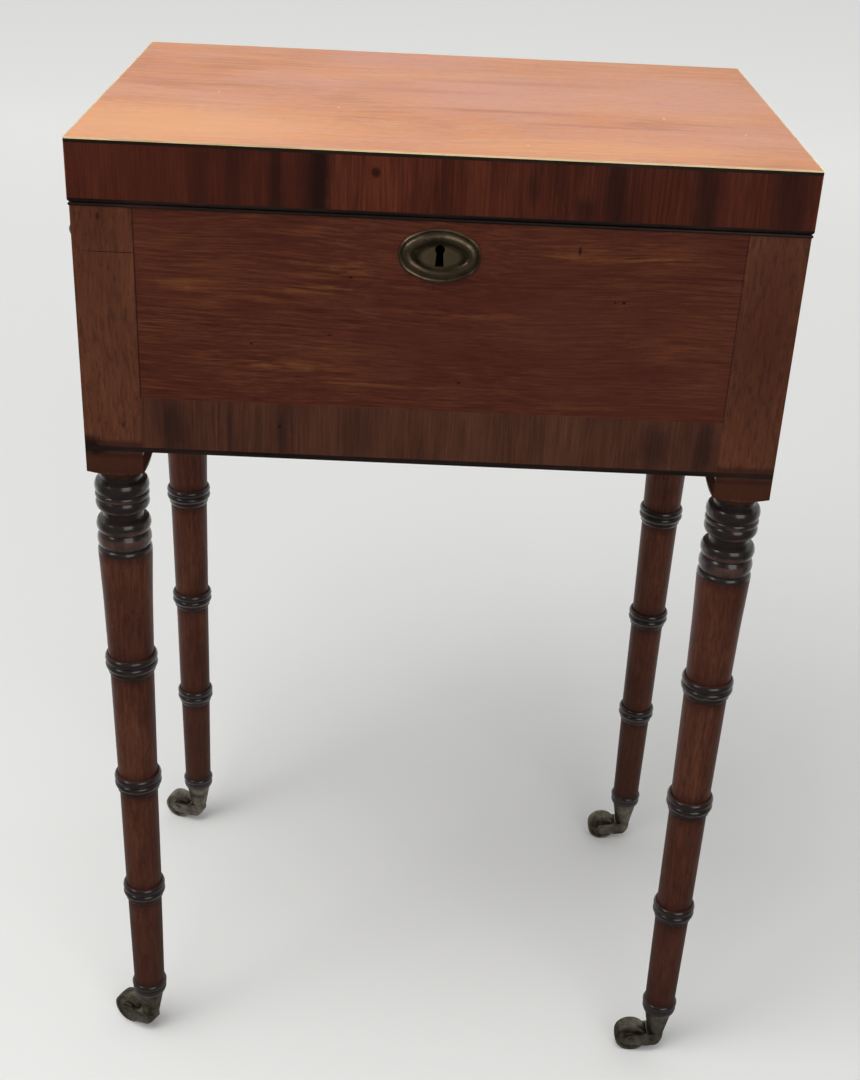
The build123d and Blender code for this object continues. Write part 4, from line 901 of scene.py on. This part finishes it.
def makeFloor(look):
    bpy.ops.object.select_all(action="DESELECT")
    bpy.ops.mesh.primitive_plane_add(size=look["floorSize"], location=(0, 0, 0))
    floor = bpy.context.object
    floor.name = "studioFloor"
    material, tree, shader, place = newMaterial("paleFloor")
    away = calcVector(tree, "LENGTH", -900, 0, place)
    fade = remap(tree, -700, 0, away, look["farFrom"], look["farTo"])
    color = mixed(tree, "RGBA", -500, 0, fade, look["floorColor"], look["farColor"])
    axes = axesOf(tree, -900, -260, place)
    front = remap(tree, -700, -260, axes["Y"], look["dimTo"], look["dimFrom"])
    paths = put(tree, "ShaderNodeLightPath", -700, -500).outputs
    dim = calc(tree, "MULTIPLY", -500, -300, front, paths["Is Glossy Ray"])
    seenColor = mixed(tree, "RGBA", -200, 0, dim, color, look["dimRoom"])
    give(tree, seenColor, shader.inputs["Base Color"])
    glow = remap(tree, -200, -500, axes["Y"], look["glowFrom"], look["glowTo"], None,
                 look["glow"])
    give(tree, glow, shader.inputs["Emission Strength"])
    shader.inputs["Emission Color"].default_value = (1, 1, 1, 1)
    shader.inputs["Roughness"].default_value = look["floorRoughness"]
    floor.data.materials.append(material)


def makeWorld(look):
    world = bpy.data.worlds.new("studioWorld")
    bpy.context.scene.world = world
    world.use_nodes = True
    tree = world.node_tree
    tree.nodes.clear()
    output = put(tree, "ShaderNodeOutputWorld", 600, 0)
    paths = put(tree, "ShaderNodeLightPath", -600, 200).outputs
    coords = put(tree, "ShaderNodeTexCoord", -900, -500).outputs
    axes = axesOf(tree, -740, -500, coords["Generated"])
    behind = remap(tree, -580, -500, axes["Y"], look["dimFrom"], look["dimTo"])
    room = mixed(tree, "RGBA", -400, -500, behind, look["dimRoom"], look["background"])

    def shone(y, color, strength):
        node = put(tree, "ShaderNodeBackground", -200, y)
        feed(tree, node, color, strength)
        return node.outputs[0]

    def eitherOf(x, share, first, second):
        node = put(tree, "ShaderNodeMixShader", x, 0)
        feed(tree, node, share, first, second)
        return node.outputs[0]

    # plain light for the object, the room for its reflections, the backdrop for the camera
    plain = shone(-100, (1, 1, 1, 1), look["ambient"])
    seen = shone(-300, look["background"], 1.0)
    shiny = shone(-500, room, look["shine"])
    mirrored = calc(tree, "MAXIMUM", -400, 100, paths["Is Glossy Ray"],
                    paths["Is Transmission Ray"])
    lit = eitherOf(100, mirrored, plain, shiny)
    give(tree, eitherOf(320, paths["Is Camera Ray"], lit, seen), output.inputs["Surface"])


cameraPlan = {
    "place": (-0.00817, -1.08973, 0.97108), "turn": (62.203, -2.442, 0.631), "lens": 51.41,
    "sensor": 36.0, "near": 0.05,
}


def makeCamera(plan):
    data = bpy.data.cameras.new("camera")
    data.lens = plan["lens"]
    data.sensor_width = plan["sensor"]
    data.sensor_fit = "AUTO"
    data.clip_start = plan["near"]
    camera = bpy.data.objects.new("camera", data)
    camera.location = plan["place"]
    camera.rotation_euler = Euler([math.radians(angle) for angle in plan["turn"]])
    bpy.context.scene.collection.objects.link(camera)
    bpy.context.scene.camera = camera


makeFloor(studio)
makeWorld(studio)
# the top lamp isn't mirrored in the polish
aimedLight("topLight", studio["topLight"]).visible_glossy = False
aimedLight("frontLight", studio["frontLight"])
aimedLight("window", studio["window"])
makeCamera(cameraPlan)
bpy.context.scene.view_settings.view_transform = "Standard"
print("studio ready")

bpy.context.view_layer.update()
